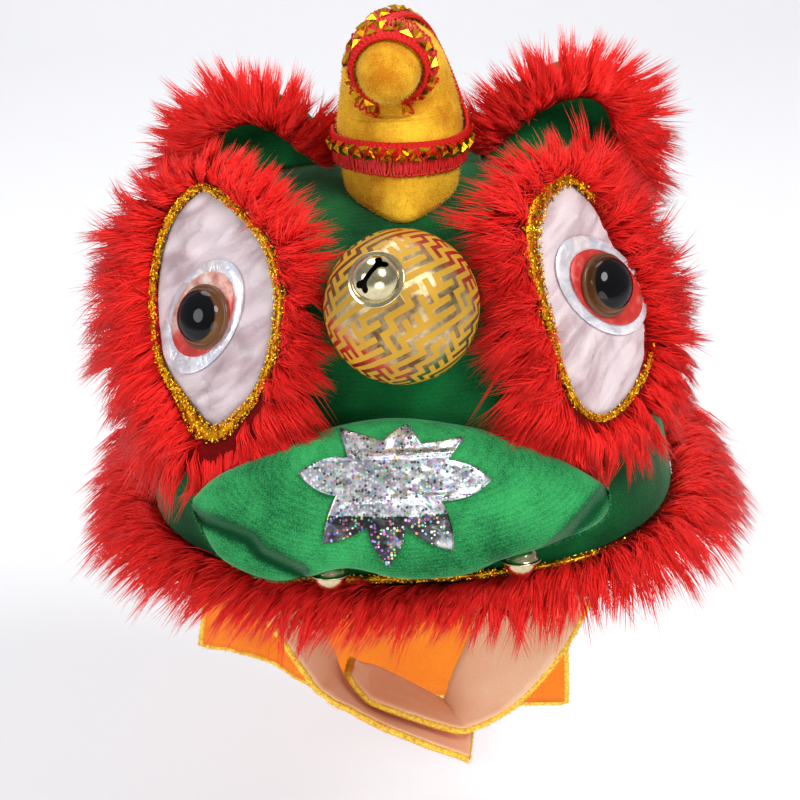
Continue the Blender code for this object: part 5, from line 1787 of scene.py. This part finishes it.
def fur_reach(eye, turn):
    """How far the eye's fur reaches in one direction round the eye."""
    away, up, inward, down = eye["fur"]
    turn += eye["side"] * math.radians(eye["fur_lean"])
    cosine, sine = math.cos(turn) * eye["side"], math.sin(turn)
    return (away if cosine > 0 else inward) * cosine**2 + (up if sine > 0 else down) * sine**2


def over_edge(eye, point):
    """How far the fur is rooted over the tinsel and the panel's edge, at a point of the outline."""
    middle, wide, share = eye["cover"]
    return share * near_turn(point, middle, wide)


def lift_over(point, out, tree):
    """How far a point must rise along a direction to lie over a surface below it."""
    far = 0.05
    hit = tree.ray_cast(point + out * far, -out, 2 * far)[0]
    return 0.0 if hit is None else max(0.0, (hit - point).dot(out) + 3 * GAP)


def make_eye_fur(name, eye_frame, eye, body, lip, ball):
    """A ring of long fur round an eye. It lies over the lip and stops short of the ball."""
    outline = round_outline(eye["outline"], 180)
    out = eye_frame.out
    rows = []
    for point, way in zip(outline, outward(outline)):
        root = point + way * (widen(eye, point) + GAP) * (1 - over_edge(eye, point))
        start = eye_frame.at(root.x, root.y, 0)
        reach_way = eye_frame.at(way.x, way.y, 0) - eye_frame.centre
        along_way = eye_frame.at(-way.y, way.x, 0) - eye_frame.centre
        reach = fur_reach(eye, math.atan2(way.y, way.x))
        hit = ball.ray_cast(start + out * 0.004, reach_way, reach + 0.004)
        if hit[0] is not None:
            reach = min(reach, hit[3] - 0.002)
        over = eye_frame.at(root.x + way.x * reach * 0.4, root.y + way.y * reach * 0.4, -0.003)
        rows.append((start + out * min(lift_over(over, out, lip), 0.012), reach_way, out, along_way, reach))
    band = FurBand(rows, EYE_FUR_HEIGHT, closed=True)
    for _ in range(12):
        band.roots = (np.roll(band.roots, 1, axis=0) + band.roots * 2 + np.roll(band.roots, -1, axis=0)) / 4
    band.lay(f"eye_fur_{name}", EYE_CUT, sizes().eye_strands, (body, lip, ball), SEED + len(name))


def make_ear_fur(name, body, horn):
    """Fur along the rim of an ear, standing out all round it and stopping short of the horn."""
    rim = even(ear_rim(name), 90)
    middle = sum(rim, Vector()) / len(rim) - UP * EAR_FUR_REACH
    rows = []
    for index, point in enumerate(rim):
        along = run_of(rim, index)
        way = Vector((-along.z, 0, along.x))
        way = way if way.dot(point - middle) > 0 else -way
        root = point - way * EAR_FUR_INSET - BACK * (EAR_SHEET / 2 + EAR_FUR_HEIGHT / 2)
        reach = EAR_FUR_REACH
        while horn_space(root, way, reach, horn) < 0.002 and reach > 0.005:
            reach *= 0.9
        rows.append((root, way, -BACK, along, reach))
    band = FurBand(rows, EAR_FUR_HEIGHT)
    band.lay(f"ear_fur_{name}", EAR_CUT, sizes().ear_strands, (body, horn), SEED + 20 + len(name))


def horn_space(root, way, reach, horn):
    """The room between the horn and a strip of fur."""
    points = (root + way * (reach * share) for share in (0.3, 0.7, 1.0))
    near = ((point, horn.find_nearest(point)) for point in points)
    return min((point - hit[0]).dot(hit[1]) for point, hit in near)


def make_brim_fur(body):
    """Long fur round the rim. It hangs outwards and down, combed away from the middle."""
    side_reach, front_reach = BRIM_FUR_REACH
    path = brim_path(BRIM_FUR_HEIGHT, GAP, 240)
    rows = []
    for index, point in enumerate(path):
        way, along = sideways(path, index)
        cover = min(1.0, abs(way.x) * 1.6) + 1.6 * max(0.0, way.y)
        reach = side_reach * abs(way.x) + front_reach * (1 - abs(way.x))
        reach_way, lift_way = (way - UP * BRIM_FUR_FALL).normalized(), (UP + way * BRIM_FUR_FALL).normalized()
        rows.append((point + UP * (BRIM_FUR_COVER * cover), reach_way, lift_way, along, reach))
    FurBand(rows, BRIM_FUR_THICKNESS).lay("brim_fur", BRIM_CUT, sizes().brim_strands, (body,), SEED + 40)


def pile(name, roots, ways, lean, curl, length, short, radius, rng):
    """Short strands of pile, each leaning its own way: curl is the share of the lean that its lower half has."""
    bends = roots + unit(ways + lean * curl) * (length * 0.5)
    tips = roots + unit(ways + lean) * (length * rng.uniform(short, 1.2, len(roots)))[:, None]
    return strands(name, roots, bends, tips, np.full(len(roots), radius), FUZZ_STOPS, rng.random(len(roots)))


def fuzz(name, edges, count, length, slot, seed):
    """Short yellow pile on bound edges: edges give the middle of the binding, its direction and its radius."""
    rng = np.random.default_rng(seed)
    pick = rng.integers(0, len(edges), count)
    middles, along, radius = (np.array(column)[pick] for column in zip(*edges))
    ways = rng.normal(size=(count, 3))
    ways -= along * (ways * along).sum(axis=1, keepdims=True)
    ways = unit(ways)
    roots = middles + along * rng.uniform(-0.0012, 0.0012, count)[:, None] + ways * (radius * 0.8)[:, None]
    lean = rng.normal(0, 0.35, (count, 3))
    dressed(pile(name, roots, ways, lean, 0.4, length, 0.6, 0.00016, rng), "edge_pile", slot)


def nap(name, made, count, length, finish, slot, seed):
    """Short strands of pile scattered over a piece by the size of its faces."""
    rng = np.random.default_rng(seed)
    mesh = made.data
    mesh.calc_loop_triangles()
    points = np.empty(len(mesh.vertices) * 3)
    mesh.vertices.foreach_get("co", points)
    corners = np.empty(len(mesh.loop_triangles) * 3, dtype=np.int64)
    mesh.loop_triangles.foreach_get("vertices", corners)
    first, second, third = points.reshape(-1, 3)[corners.reshape(-1, 3)].transpose(1, 0, 2)
    normals = np.cross(second - first, third - first)
    areas = np.linalg.norm(normals, axis=1)
    pick = rng.choice(len(areas), count, p=areas / areas.sum())
    share, part = rng.random((2, count, 1))
    over = share + part > 1
    share, part = np.where(over, 1 - share, share), np.where(over, 1 - part, part)
    roots = first[pick] + (second - first)[pick] * share + (third - first)[pick] * part
    lean = rng.normal(0, 0.28, (count, 3)) + np.array(NAP_LEAN)
    dressed(pile(name, roots, unit(normals[pick]), lean, 0.5, length, 0.5, 0.00009, rng), finish, slot)


def binding(name, path, seed, count):
    """A bound edge: a thin yellow roll with its pile."""
    path = even(path, max(20, len(path)))
    rings, edges = [], []
    for index, point in enumerate(path):
        along = run_of(path, index)
        side = along.cross(Vector((0, -1, 0.2))).normalized()
        rings.append(ring_round(point, side, side.cross(along), EDGE_RADIUS))
        edges.append((point, along, EDGE_RADIUS))
    piece(f"{name}_roll", loft(rings), "edge_core", "yellow_velvet")
    fuzz(f"{name}_pile", edges, count, 0.0011, "yellow_velvet", seed)


def strap_points(inner, rows, offset):
    """The places of a strap's layer, over its own middle surface."""
    sections = spread(rows, STRAP_LEVELS + 1)

    def shape(share, part):
        """A point of the strap, from its top down and from its near edge to its far one."""
        index = round(share * STRAP_LEVELS)
        around = (sections[max(index - 1, 0)], sections[min(index + 1, STRAP_LEVELS)])
        near, far = Vector(sections[index][:3]), Vector(sections[index][3:])
        start, end = (Vector(row[:3]).lerp(Vector(row[3:]), part) for row in around)
        normal = (end - start).cross(far - near).normalized() * inner
        sag = 0.0005 * noise.noise(Vector((share * 12, part * 4, inner)))
        return near.lerp(far, part) + normal * (offset + sag)

    return shape


def make_straps():
    """The fastening straps: an orange outer layer, a pale lining and yellow bound edges."""
    lining_offset = LINING_GAP + LINING_THICKNESS / 2
    layers = (
        ("strap_satin", "cape_orange", "orange_satin", -STRAP_THICKNESS / 2, STRAP_THICKNESS, "strap"),
        ("strap_nap", "strap_nap", "lining", lining_offset, LINING_THICKNESS, "strap_lining"),
    )
    for name, strap in STRAPS.items():
        for stem, finish, slot, offset, thickness, node in layers:
            shape = strap_points(*strap, offset)
            mesh = cloth(STRAP_LEVELS, STRAP_ACROSS, shape)
            made = piece(f"{stem}_{name}", mesh, finish, slot, f"{node}_{name}")
            thicken(made, thickness)
            long = sum((shape((k + 1) / 60, 0.5) - shape(k / 60, 0.5)).length for k in range(60))
            wide = sum((shape(k / 10, 1) - shape(k / 10, 0)).length for k in range(11)) / 11
        shape = strap_points(*strap, 0.0)
        for part, edge in ((0.0, "near"), (1.0, "far")):
            path = [shape(k / STRAP_LEVELS, part) for k in range(8, STRAP_LEVELS + 1)]
            binding(f"strap_edge_{name}_{edge}", path, SEED + len(name) + len(edge), 1500)
        binding(f"strap_edge_{name}_end", [shape(1.0, k / 12) for k in range(13)], SEED + 3 * len(name), 420)


def make_cape(head):
    """The orange satin cape hangs from inside the back of the rim and waves towards its bottom edge."""
    hangs = []
    for top_x, bottom_x, bottom_z in spread(CAPE_ROWS, CAPE_ACROSS + 1):
        walls = (head.ray_cast(Vector((top_x, 0, level)), BACK)[0] for level in (CAPE_TOP, CAPE_RIM))
        top, rim = (wall - BACK * (CAPE_THICKNESS + CAPE_GAP) for wall in walls)
        rim = Vector((rim.x, min(top.y, rim.y), HEAD_ROWS[0][0] - GAP))
        hangs.append((Vector((top.x, rim.y, top.z)), rim, Vector((bottom_x, CAPE_BOTTOM_Y, bottom_z))))

    def shape(share, part):
        """A point of the cape, from side to side and from its top down."""
        top, rim, bottom = hangs[round(share * CAPE_ACROSS)]
        step = part * CAPE_DOWN
        if step <= 2:
            return top.lerp(rim, step / 2) + BACK * (CAPE_THICKNESS / 2)
        down = (step - 2) / (CAPE_DOWN - 2)
        wave = CAPE_WAVE * math.sin(2 * math.pi * CAPE_WAVES * share + 2 * down) * down
        ripple = 0.0012 * down * noise.noise(Vector((share * 14, down * 4, 8)))
        return rim.lerp(bottom, down) + BACK * (CAPE_THICKNESS / 2 + wave + ripple)

    made = piece("cape_satin", cloth(CAPE_ACROSS, CAPE_DOWN, shape), "cape_orange", "orange_satin", "cape")
    thicken(made, CAPE_THICKNESS)
    left = [shape(0.0, k / CAPE_DOWN) for k in range(3, CAPE_DOWN + 1)]
    bottom = [shape(k / CAPE_ACROSS, 1.0) for k in range(CAPE_ACROSS + 1)]
    right = [shape(1.0, k / CAPE_DOWN) for k in range(CAPE_DOWN, 2, -1)]
    binding("cape_edge", left + bottom + right, SEED + 60, 3200)


def make_camera():
    """The camera at the photograph's angle."""
    ahead = Vector((0, math.cos(CAMERA_DOWN), -math.sin(CAMERA_DOWN)))
    upright = Vector((0, math.sin(CAMERA_DOWN), math.cos(CAMERA_DOWN)))
    right = RIGHT * math.cos(CAMERA_ROLL) - upright * math.sin(CAMERA_ROLL)
    up = RIGHT * math.sin(CAMERA_ROLL) + upright * math.cos(CAMERA_ROLL)
    data = bpy.data.cameras.new("camera")
    data.lens = CAMERA_LENS
    data.sensor_width = 36
    data.sensor_fit = "HORIZONTAL"
    data.clip_start = 0.01
    made = linked(bpy.data.objects.new("camera", data))
    made.matrix_world = standing(LOOK_AT - ahead * CAMERA_DISTANCE, right, up, -ahead)
    bpy.context.scene.camera = made


def make_light(name, spot, aim, size, power, tint):
    """A soft round lamp that looks at one point."""
    data = bpy.data.lights.new(name, "AREA")
    data.shape = "DISK"
    data.size = size
    data.energy = power
    data.color = tint
    made = linked(bpy.data.objects.new(name, data))
    made.location = spot
    made.rotation_euler = (Vector(aim) - Vector(spot)).to_track_quat("-Z", "Y").to_euler()


def make_room(strength):
    """The even light of the room, brighter where one looks up."""
    world = bpy.data.worlds.new("room")
    world.use_nodes = True
    tree = world.node_tree
    way, split, ramp = (tree.nodes.new(f"ShaderNode{kind}") for kind in ("TexCoord", "SeparateXYZ", "ValToRGB"))
    stops = (*ramp.color_ramp.elements, ramp.color_ramp.elements.new(0.5))
    for element, (level, shade) in zip(stops, ROOM_SHADES):
        element.position = level
        element.color = (shade * 0.95, shade * 0.97, shade, 1.0)
    background = tree.nodes["Background"]
    tree.links.new(way.outputs["Generated"], split.inputs[0])
    tree.links.new(split.outputs["Z"], ramp.inputs[0])
    tree.links.new(ramp.outputs[0], background.inputs["Color"])
    background.inputs["Strength"].default_value = strength
    bpy.context.scene.world = world


def make_stage(settings):
    """A pale floor that bends up behind, four soft lamps and the camera."""

    def sweep(share, part):
        """A point of the paper, from side to side and from front to back."""
        run = part * (FLOOR_SIZE + FLOOR_BACK)
        x = (share - 0.5) * FLOOR_SIZE * 2
        if run < FLOOR_SIZE:
            return Vector((x, run - FLOOR_SIZE + FLOOR_BACK, FLOOR_HEIGHT))
        turn = min(1.0, (run - FLOOR_SIZE) / FLOOR_BACK) * math.pi / 2
        rise = FLOOR_BEND * (1 - math.cos(turn)) + 2.0 * (turn / (math.pi / 2)) ** 4
        return Vector((x, FLOOR_BACK + FLOOR_BEND * math.sin(turn), FLOOR_HEIGHT + rise))

    floor = linked(object_of("floor", cloth(8, 60, sweep)))
    floor.data.materials.append(bpy.data.materials["stage_paper"])
    for name, spot, aim, size, power, tint in LAMPS:
        make_light(name, spot, aim, size, power * settings.lamp_power, tint)
    make_room(settings.room_light)
    bpy.context.scene.view_settings.view_transform = "Standard"
    make_camera()


def length_of(name, description, default):
    """A small length that a user may change."""
    return bpy.props.FloatProperty(
        name=name, description=description, default=default, subtype="DISTANCE", unit="LENGTH"
    )


def count_of(name, description, default, least):
    """A count that a user may change."""
    return bpy.props.IntProperty(name=name, description=description, default=default, min=least)


def share_of(name, description, default):
    """A share that a user may change."""
    return bpy.props.FloatProperty(name=name, description=description, default=default, min=0.0)


class CostumeSizes(bpy.types.PropertyGroup):
    """Sizes and counts of the costume's trimmings."""

    strand_width: length_of("Strand width", "Width of a fur strand at its root", 0.00037)
    eye_strands: count_of("Eye fur", "Strands of fur round each eye", 13500, 500)
    ear_strands: count_of("Ear fur", "Strands of fur on each ear", 8500, 500)
    brim_strands: count_of("Brim fur", "Strands of fur round the rim", 15800, 500)
    tinsel_flakes: count_of("Tinsel flakes", "Glitter flakes on each tinsel cord", 2600, 100)
    flake_size: length_of("Flake size", "Half length of a glitter flake", 0.00062)
    lamp_power: share_of("Lamps", "Power of the studio lamps, as a share of the usual one", 1.0)
    room_light: share_of("Room light", "Strength of the even light of the room", 0.42)


def colour_of(name, description, red, green, blue):
    """A colour that a user may change."""
    return bpy.props.FloatVectorProperty(
        name=name, description=description, default=colour(red, green, blue), size=3, min=0, max=1, subtype="COLOR"
    )


class CostumeColours(bpy.types.PropertyGroup):
    """Colours of the costume's cloths, furs, foils and metals."""

    green_deep: colour_of("Green, deep", "Velvet where the pile swallows light", 10, 52, 28)
    green_light: colour_of("Green, light", "Velvet where the pile lies flat", 16, 104, 50)
    lip_deep: colour_of("Lip, deep", "Lip velvet where the pile swallows light", 12, 74, 40)
    lip_light: colour_of("Lip, light", "Lip velvet where the pile lies flat", 58, 172, 96)
    # The bound edges' and the lip pile's colours run from painted shade at the roots to a painted highlight at the
    # tips.
    edge_deep: colour_of("Bound edge, deep", "Yellow bound edges at their roots", 246, 178, 36)
    edge_light: colour_of("Bound edge, light", "Yellow bound edges at their tips", 255, 212, 84)
    lip_tip: colour_of("Lip pile, tips", "Green pile of the lip at its tips", 84, 184, 116)
    yellow_deep: colour_of("Yellow, deep", "Horn velvet in its shadows", 192, 117, 11)
    yellow_light: colour_of("Yellow, light", "Horn velvet in the light", 252, 202, 52)
    # The deep fur colour is painted shade at the roots; the light one ends in a painted highlight at the tips.
    fur_deep: colour_of("Fur, deep", "Fur at its roots", 140, 4, 8)
    fur_light: colour_of("Fur, light", "Fur at its tips", 252, 38, 34)
    braid: colour_of("Braid", "Red thread of the braid", 228, 22, 16)
    # The deep tinsel colour is painted shade in the folds, the light one lit gold.
    tinsel_deep: colour_of("Tinsel, deep", "Gold tinsel in its folds", 156, 62, 4)
    tinsel_light: colour_of("Tinsel, light", "Gold tinsel in the light", 255, 184, 32)
    # The deep satin colour is painted shade in the creases.
    satin_deep: colour_of("Satin, deep", "White satin in its folds", 180, 156, 162)
    satin_light: colour_of("Satin, light", "White satin in the light", 220, 204, 208)
    foil: colour_of("Foil", "Ground of the silver foil", 176, 178, 184)
    red_foil: colour_of("Red foil", "Red oval of the eye", 206, 52, 44)
    iris: colour_of("Iris", "Brown plastic of the eye", 92, 62, 36)
    iris_rim: colour_of("Iris rim", "Rim of the plastic eye", 104, 70, 48)
    brocade: colour_of("Brocade", "Gold satin of the ball", 206, 156, 42)
    fret: colour_of("Fret", "Metallic thread of the ball's fret", 102, 72, 42)
    fret_bright: colour_of("Fret, bright", "Metallic thread in the light", 200, 176, 132)
    gilt: colour_of("Gilt", "Plating of the bells", 212, 200, 160)
    orange_deep: colour_of("Orange, deep", "Satin of the cape in its folds", 246, 114, 4)
    orange_light: colour_of("Orange, light", "Satin of the cape in the light", 255, 144, 22)
    lining_deep: colour_of("Lining, deep", "Lining in its folds", 250, 186, 142)
    lining_light: colour_of("Lining, light", "Lining in the light", 255, 220, 186)
    paper: colour_of("Paper", "Floor and background", 246, 246, 249)


def built(*names):
    """Finished pieces by name. It raises an error where one isn't made yet."""
    missing = [name for name in names if name not in bpy.data.objects]
    if missing:
        raise RuntimeError(f"make these pieces first: {', '.join(missing)}")
    return [bpy.data.objects[name] for name in names]


class LION_OT_finishes(bpy.types.Operator):
    """Make the cloths, furs, foils and metals"""

    bl_idname = "lion.finishes"
    bl_label = "Finishes"

    def execute(self, context):
        hue = {name: tuple(getattr(context.scene.lion_colours, name)) for name in CostumeColours.__annotations__}
        green, lip, edge, yellow, fur, tinsel, satin, orange, lining = (
            (hue[f"{stem}_deep"], hue[f"{stem}_light"])
            for stem in ("green", "lip", "edge", "yellow", "fur", "tinsel", "satin", "orange", "lining")
        )
        velvet_green("head_pile", *green)
        velvet_green("lip_pile", *lip)
        velvet_yellow(*yellow)
        long_fur(*fur)
        # The fur's bed is painted darker than its roots, as shade under the strands.
        fur_bed("fur_bed", shaded(fur[0], 0.6))
        fur_bed("edge_core", edge[1])
        woven_braid(hue["braid"])
        braid_loops(hue["braid"])
        gold_foil("gold_zigzag", *tinsel, 0.22)
        # The tinsel's core is painted darker than the flakes, as shade under them.
        gold_foil("tinsel_core", tinsel[0], shaded(tinsel[1], 0.6), 0.4)
        gold_tinsel(*tinsel)
        white_satin(*satin)
        # Heights of the star's creases, where its painted reflection changes.
        levels = [LIP_CENTRE.z + crease * math.cos(LIP_LEAN) for crease in STAR_CREASES]
        sparkle_foil(hue["foil"], min(levels), max(levels))
        plain_foil(shaded(hue["foil"], 1.5))
        red_foil(hue["red_foil"])
        glass_eye(hue["iris"], hue["iris_rim"])
        brocade(hue["brocade"], hue["fret"], hue["fret_bright"])
        gilt_metal(hue["gilt"])
        dark_inside()
        satin_orange(*orange)
        pale_lining(*lining)
        short_pile("yellow_pile", yellow[1], edge[1])
        short_pile("edge_pile", *edge)
        short_pile("green_pile", lip[1], hue["lip_tip"])
        stage_paper(hue["paper"])
        return {"FINISHED"}


class LION_OT_stage(bpy.types.Operator):
    """Set up the floor, the lamps and the camera"""

    bl_idname = "lion.stage"
    bl_label = "Stage"

    def execute(self, context):
        make_stage(context.scene.lion_costume)
        return {"FINISHED"}


class LION_OT_head(bpy.types.Operator):
    """Make the velvet head with its lining, and the ears"""

    bl_idname = "lion.head"
    bl_label = "Head and ears"

    def execute(self, context):
        head = make_head()
        make_ears(tree_of(head))
        return {"FINISHED"}


class LION_OT_lip(bpy.types.Operator):
    """Make the stuffed lip and the foil star on it"""

    bl_idname = "lion.lip"
    bl_label = "Lip and star"

    def execute(self, context):
        lip = make_lip(tree_of(*built("head_velvet")))
        make_star(tree_of(lip))
        return {"FINISHED"}


class LION_OT_horn(bpy.types.Operator):
    """Make the stuffed horn and the braid wound round it"""

    bl_idname = "lion.horn"
    bl_label = "Horn and braid"

    def execute(self, context):
        horn = make_horn(tree_of(*built("head_velvet")))
        make_braid(tree_of(horn))
        return {"FINISHED"}


class LION_OT_ball(bpy.types.Operator):
    """Make the brocade ball"""

    bl_idname = "lion.ball"
    bl_label = "Nose ball"

    def execute(self, context):
        make_ball(tree_of(*built("head_velvet")))
        return {"FINISHED"}


class LION_OT_bells(bpy.types.Operator):
    """Make the bell on the ball and the two below the lip"""

    bl_idname = "lion.bells"
    bl_label = "Bells"

    def execute(self, context):
        centre = BALL_CENTRE + NOSE_BELL_FACING * (BALL_RADIUS + NOSE_BELL[0] + GAP)
        make_bell("nose_bell", centre, NOSE_BELL_FACING, Vector((1, 0.6, 1)), NOSE_BELL)
        for name, place_of_bell in LIP_BELLS.items():
            make_bell(name, place_of_bell, Vector((0, -0.2, -1)).normalized(), Vector((1, 0, 0)), LIP_BELL)
        return {"FINISHED"}


class LION_OT_eyes(bpy.types.Operator):
    """Make the satin panels, foil ovals and plastic eyes"""

    bl_idname = "lion.eyes"
    bl_label = "Eyes"

    def execute(self, context):
        for name, eye in EYES.items():
            eye_frame = EYE_FRAMES[name]
            make_panel(name, eye_frame, eye)
            make_dome(name, eye_frame, eye, make_foils(name, eye_frame, eye))
        return {"FINISHED"}


class LION_OT_tinsel(bpy.types.Operator):
    """Make the gold tinsel round the eyes and along the brim"""

    bl_idname = "lion.tinsel"
    bl_label = "Tinsel"

    def execute(self, context):
        for name, eye in EYES.items():
            make_eye_tinsel(name, EYE_FRAMES[name], eye)
        make_brim_tinsel()
        return {"FINISHED"}


class LION_OT_fur(bpy.types.Operator):
    """Make the fur of the eyes, the ears and the brim"""

    bl_idname = "lion.fur"
    bl_label = "Fur"

    def execute(self, context):
        made = built("head_velvet", "lip_cushion", "brocade_ball", "horn_velvet")
        head, lip, ball, horn = (tree_of(each) for each in made)
        for name, eye in EYES.items():
            make_eye_fur(name, EYE_FRAMES[name], eye, head, lip, ball)
        for name in EAR_ROWS:
            make_ear_fur(name, head, horn)
        make_brim_fur(head)
        return {"FINISHED"}


class LION_OT_straps(bpy.types.Operator):
    """Make the fastening straps and the cape"""

    bl_idname = "lion.straps"
    bl_label = "Straps and cape"

    def execute(self, context):
        make_straps()
        make_cape(tree_of(*built("head_velvet")))
        return {"FINISHED"}


STEPS = (
    LION_OT_finishes,
    LION_OT_stage,
    LION_OT_head,
    LION_OT_lip,
    LION_OT_horn,
    LION_OT_ball,
    LION_OT_bells,
    LION_OT_eyes,
    LION_OT_tinsel,
    LION_OT_fur,
    LION_OT_straps,
)


class LION_PT_costume(bpy.types.Panel):
    """The steps that make the costume, with its sizes and colours"""

    bl_label = "Lion Costume"
    bl_idname = "LION_PT_costume"
    bl_space_type = "VIEW_3D"
    bl_region_type = "UI"
    bl_category = "Lion Costume"

    def draw(self, context):
        column = self.layout.column(align=True)
        for step in STEPS:
            column.operator(step.bl_idname)
        for group in (context.scene.lion_costume, context.scene.lion_colours):
            box = self.layout.box()
            for name in group.__annotations__:
                box.prop(group, name)


CLASSES = (CostumeSizes, CostumeColours, *STEPS, LION_PT_costume)


def register():
    """Add the classes and the scene's settings."""
    for each in CLASSES:
        bpy.utils.register_class(each)
    bpy.types.Scene.lion_costume = bpy.props.PointerProperty(type=CostumeSizes)
    bpy.types.Scene.lion_colours = bpy.props.PointerProperty(type=CostumeColours)


def unregister():
    """Take them away again."""
    del bpy.types.Scene.lion_colours
    del bpy.types.Scene.lion_costume
    for each in reversed(CLASSES):
        bpy.utils.unregister_class(each)


def main():
    """Make the whole costume."""
    register()
    bpy.ops.lion.finishes()
    bpy.ops.lion.stage()
    bpy.ops.lion.head()
    bpy.ops.lion.lip()
    bpy.ops.lion.horn()
    bpy.ops.lion.ball()
    bpy.ops.lion.bells()
    bpy.ops.lion.eyes()
    bpy.ops.lion.tinsel()
    bpy.ops.lion.fur()
    bpy.ops.lion.straps()


if __name__ == "__main__":
    main()
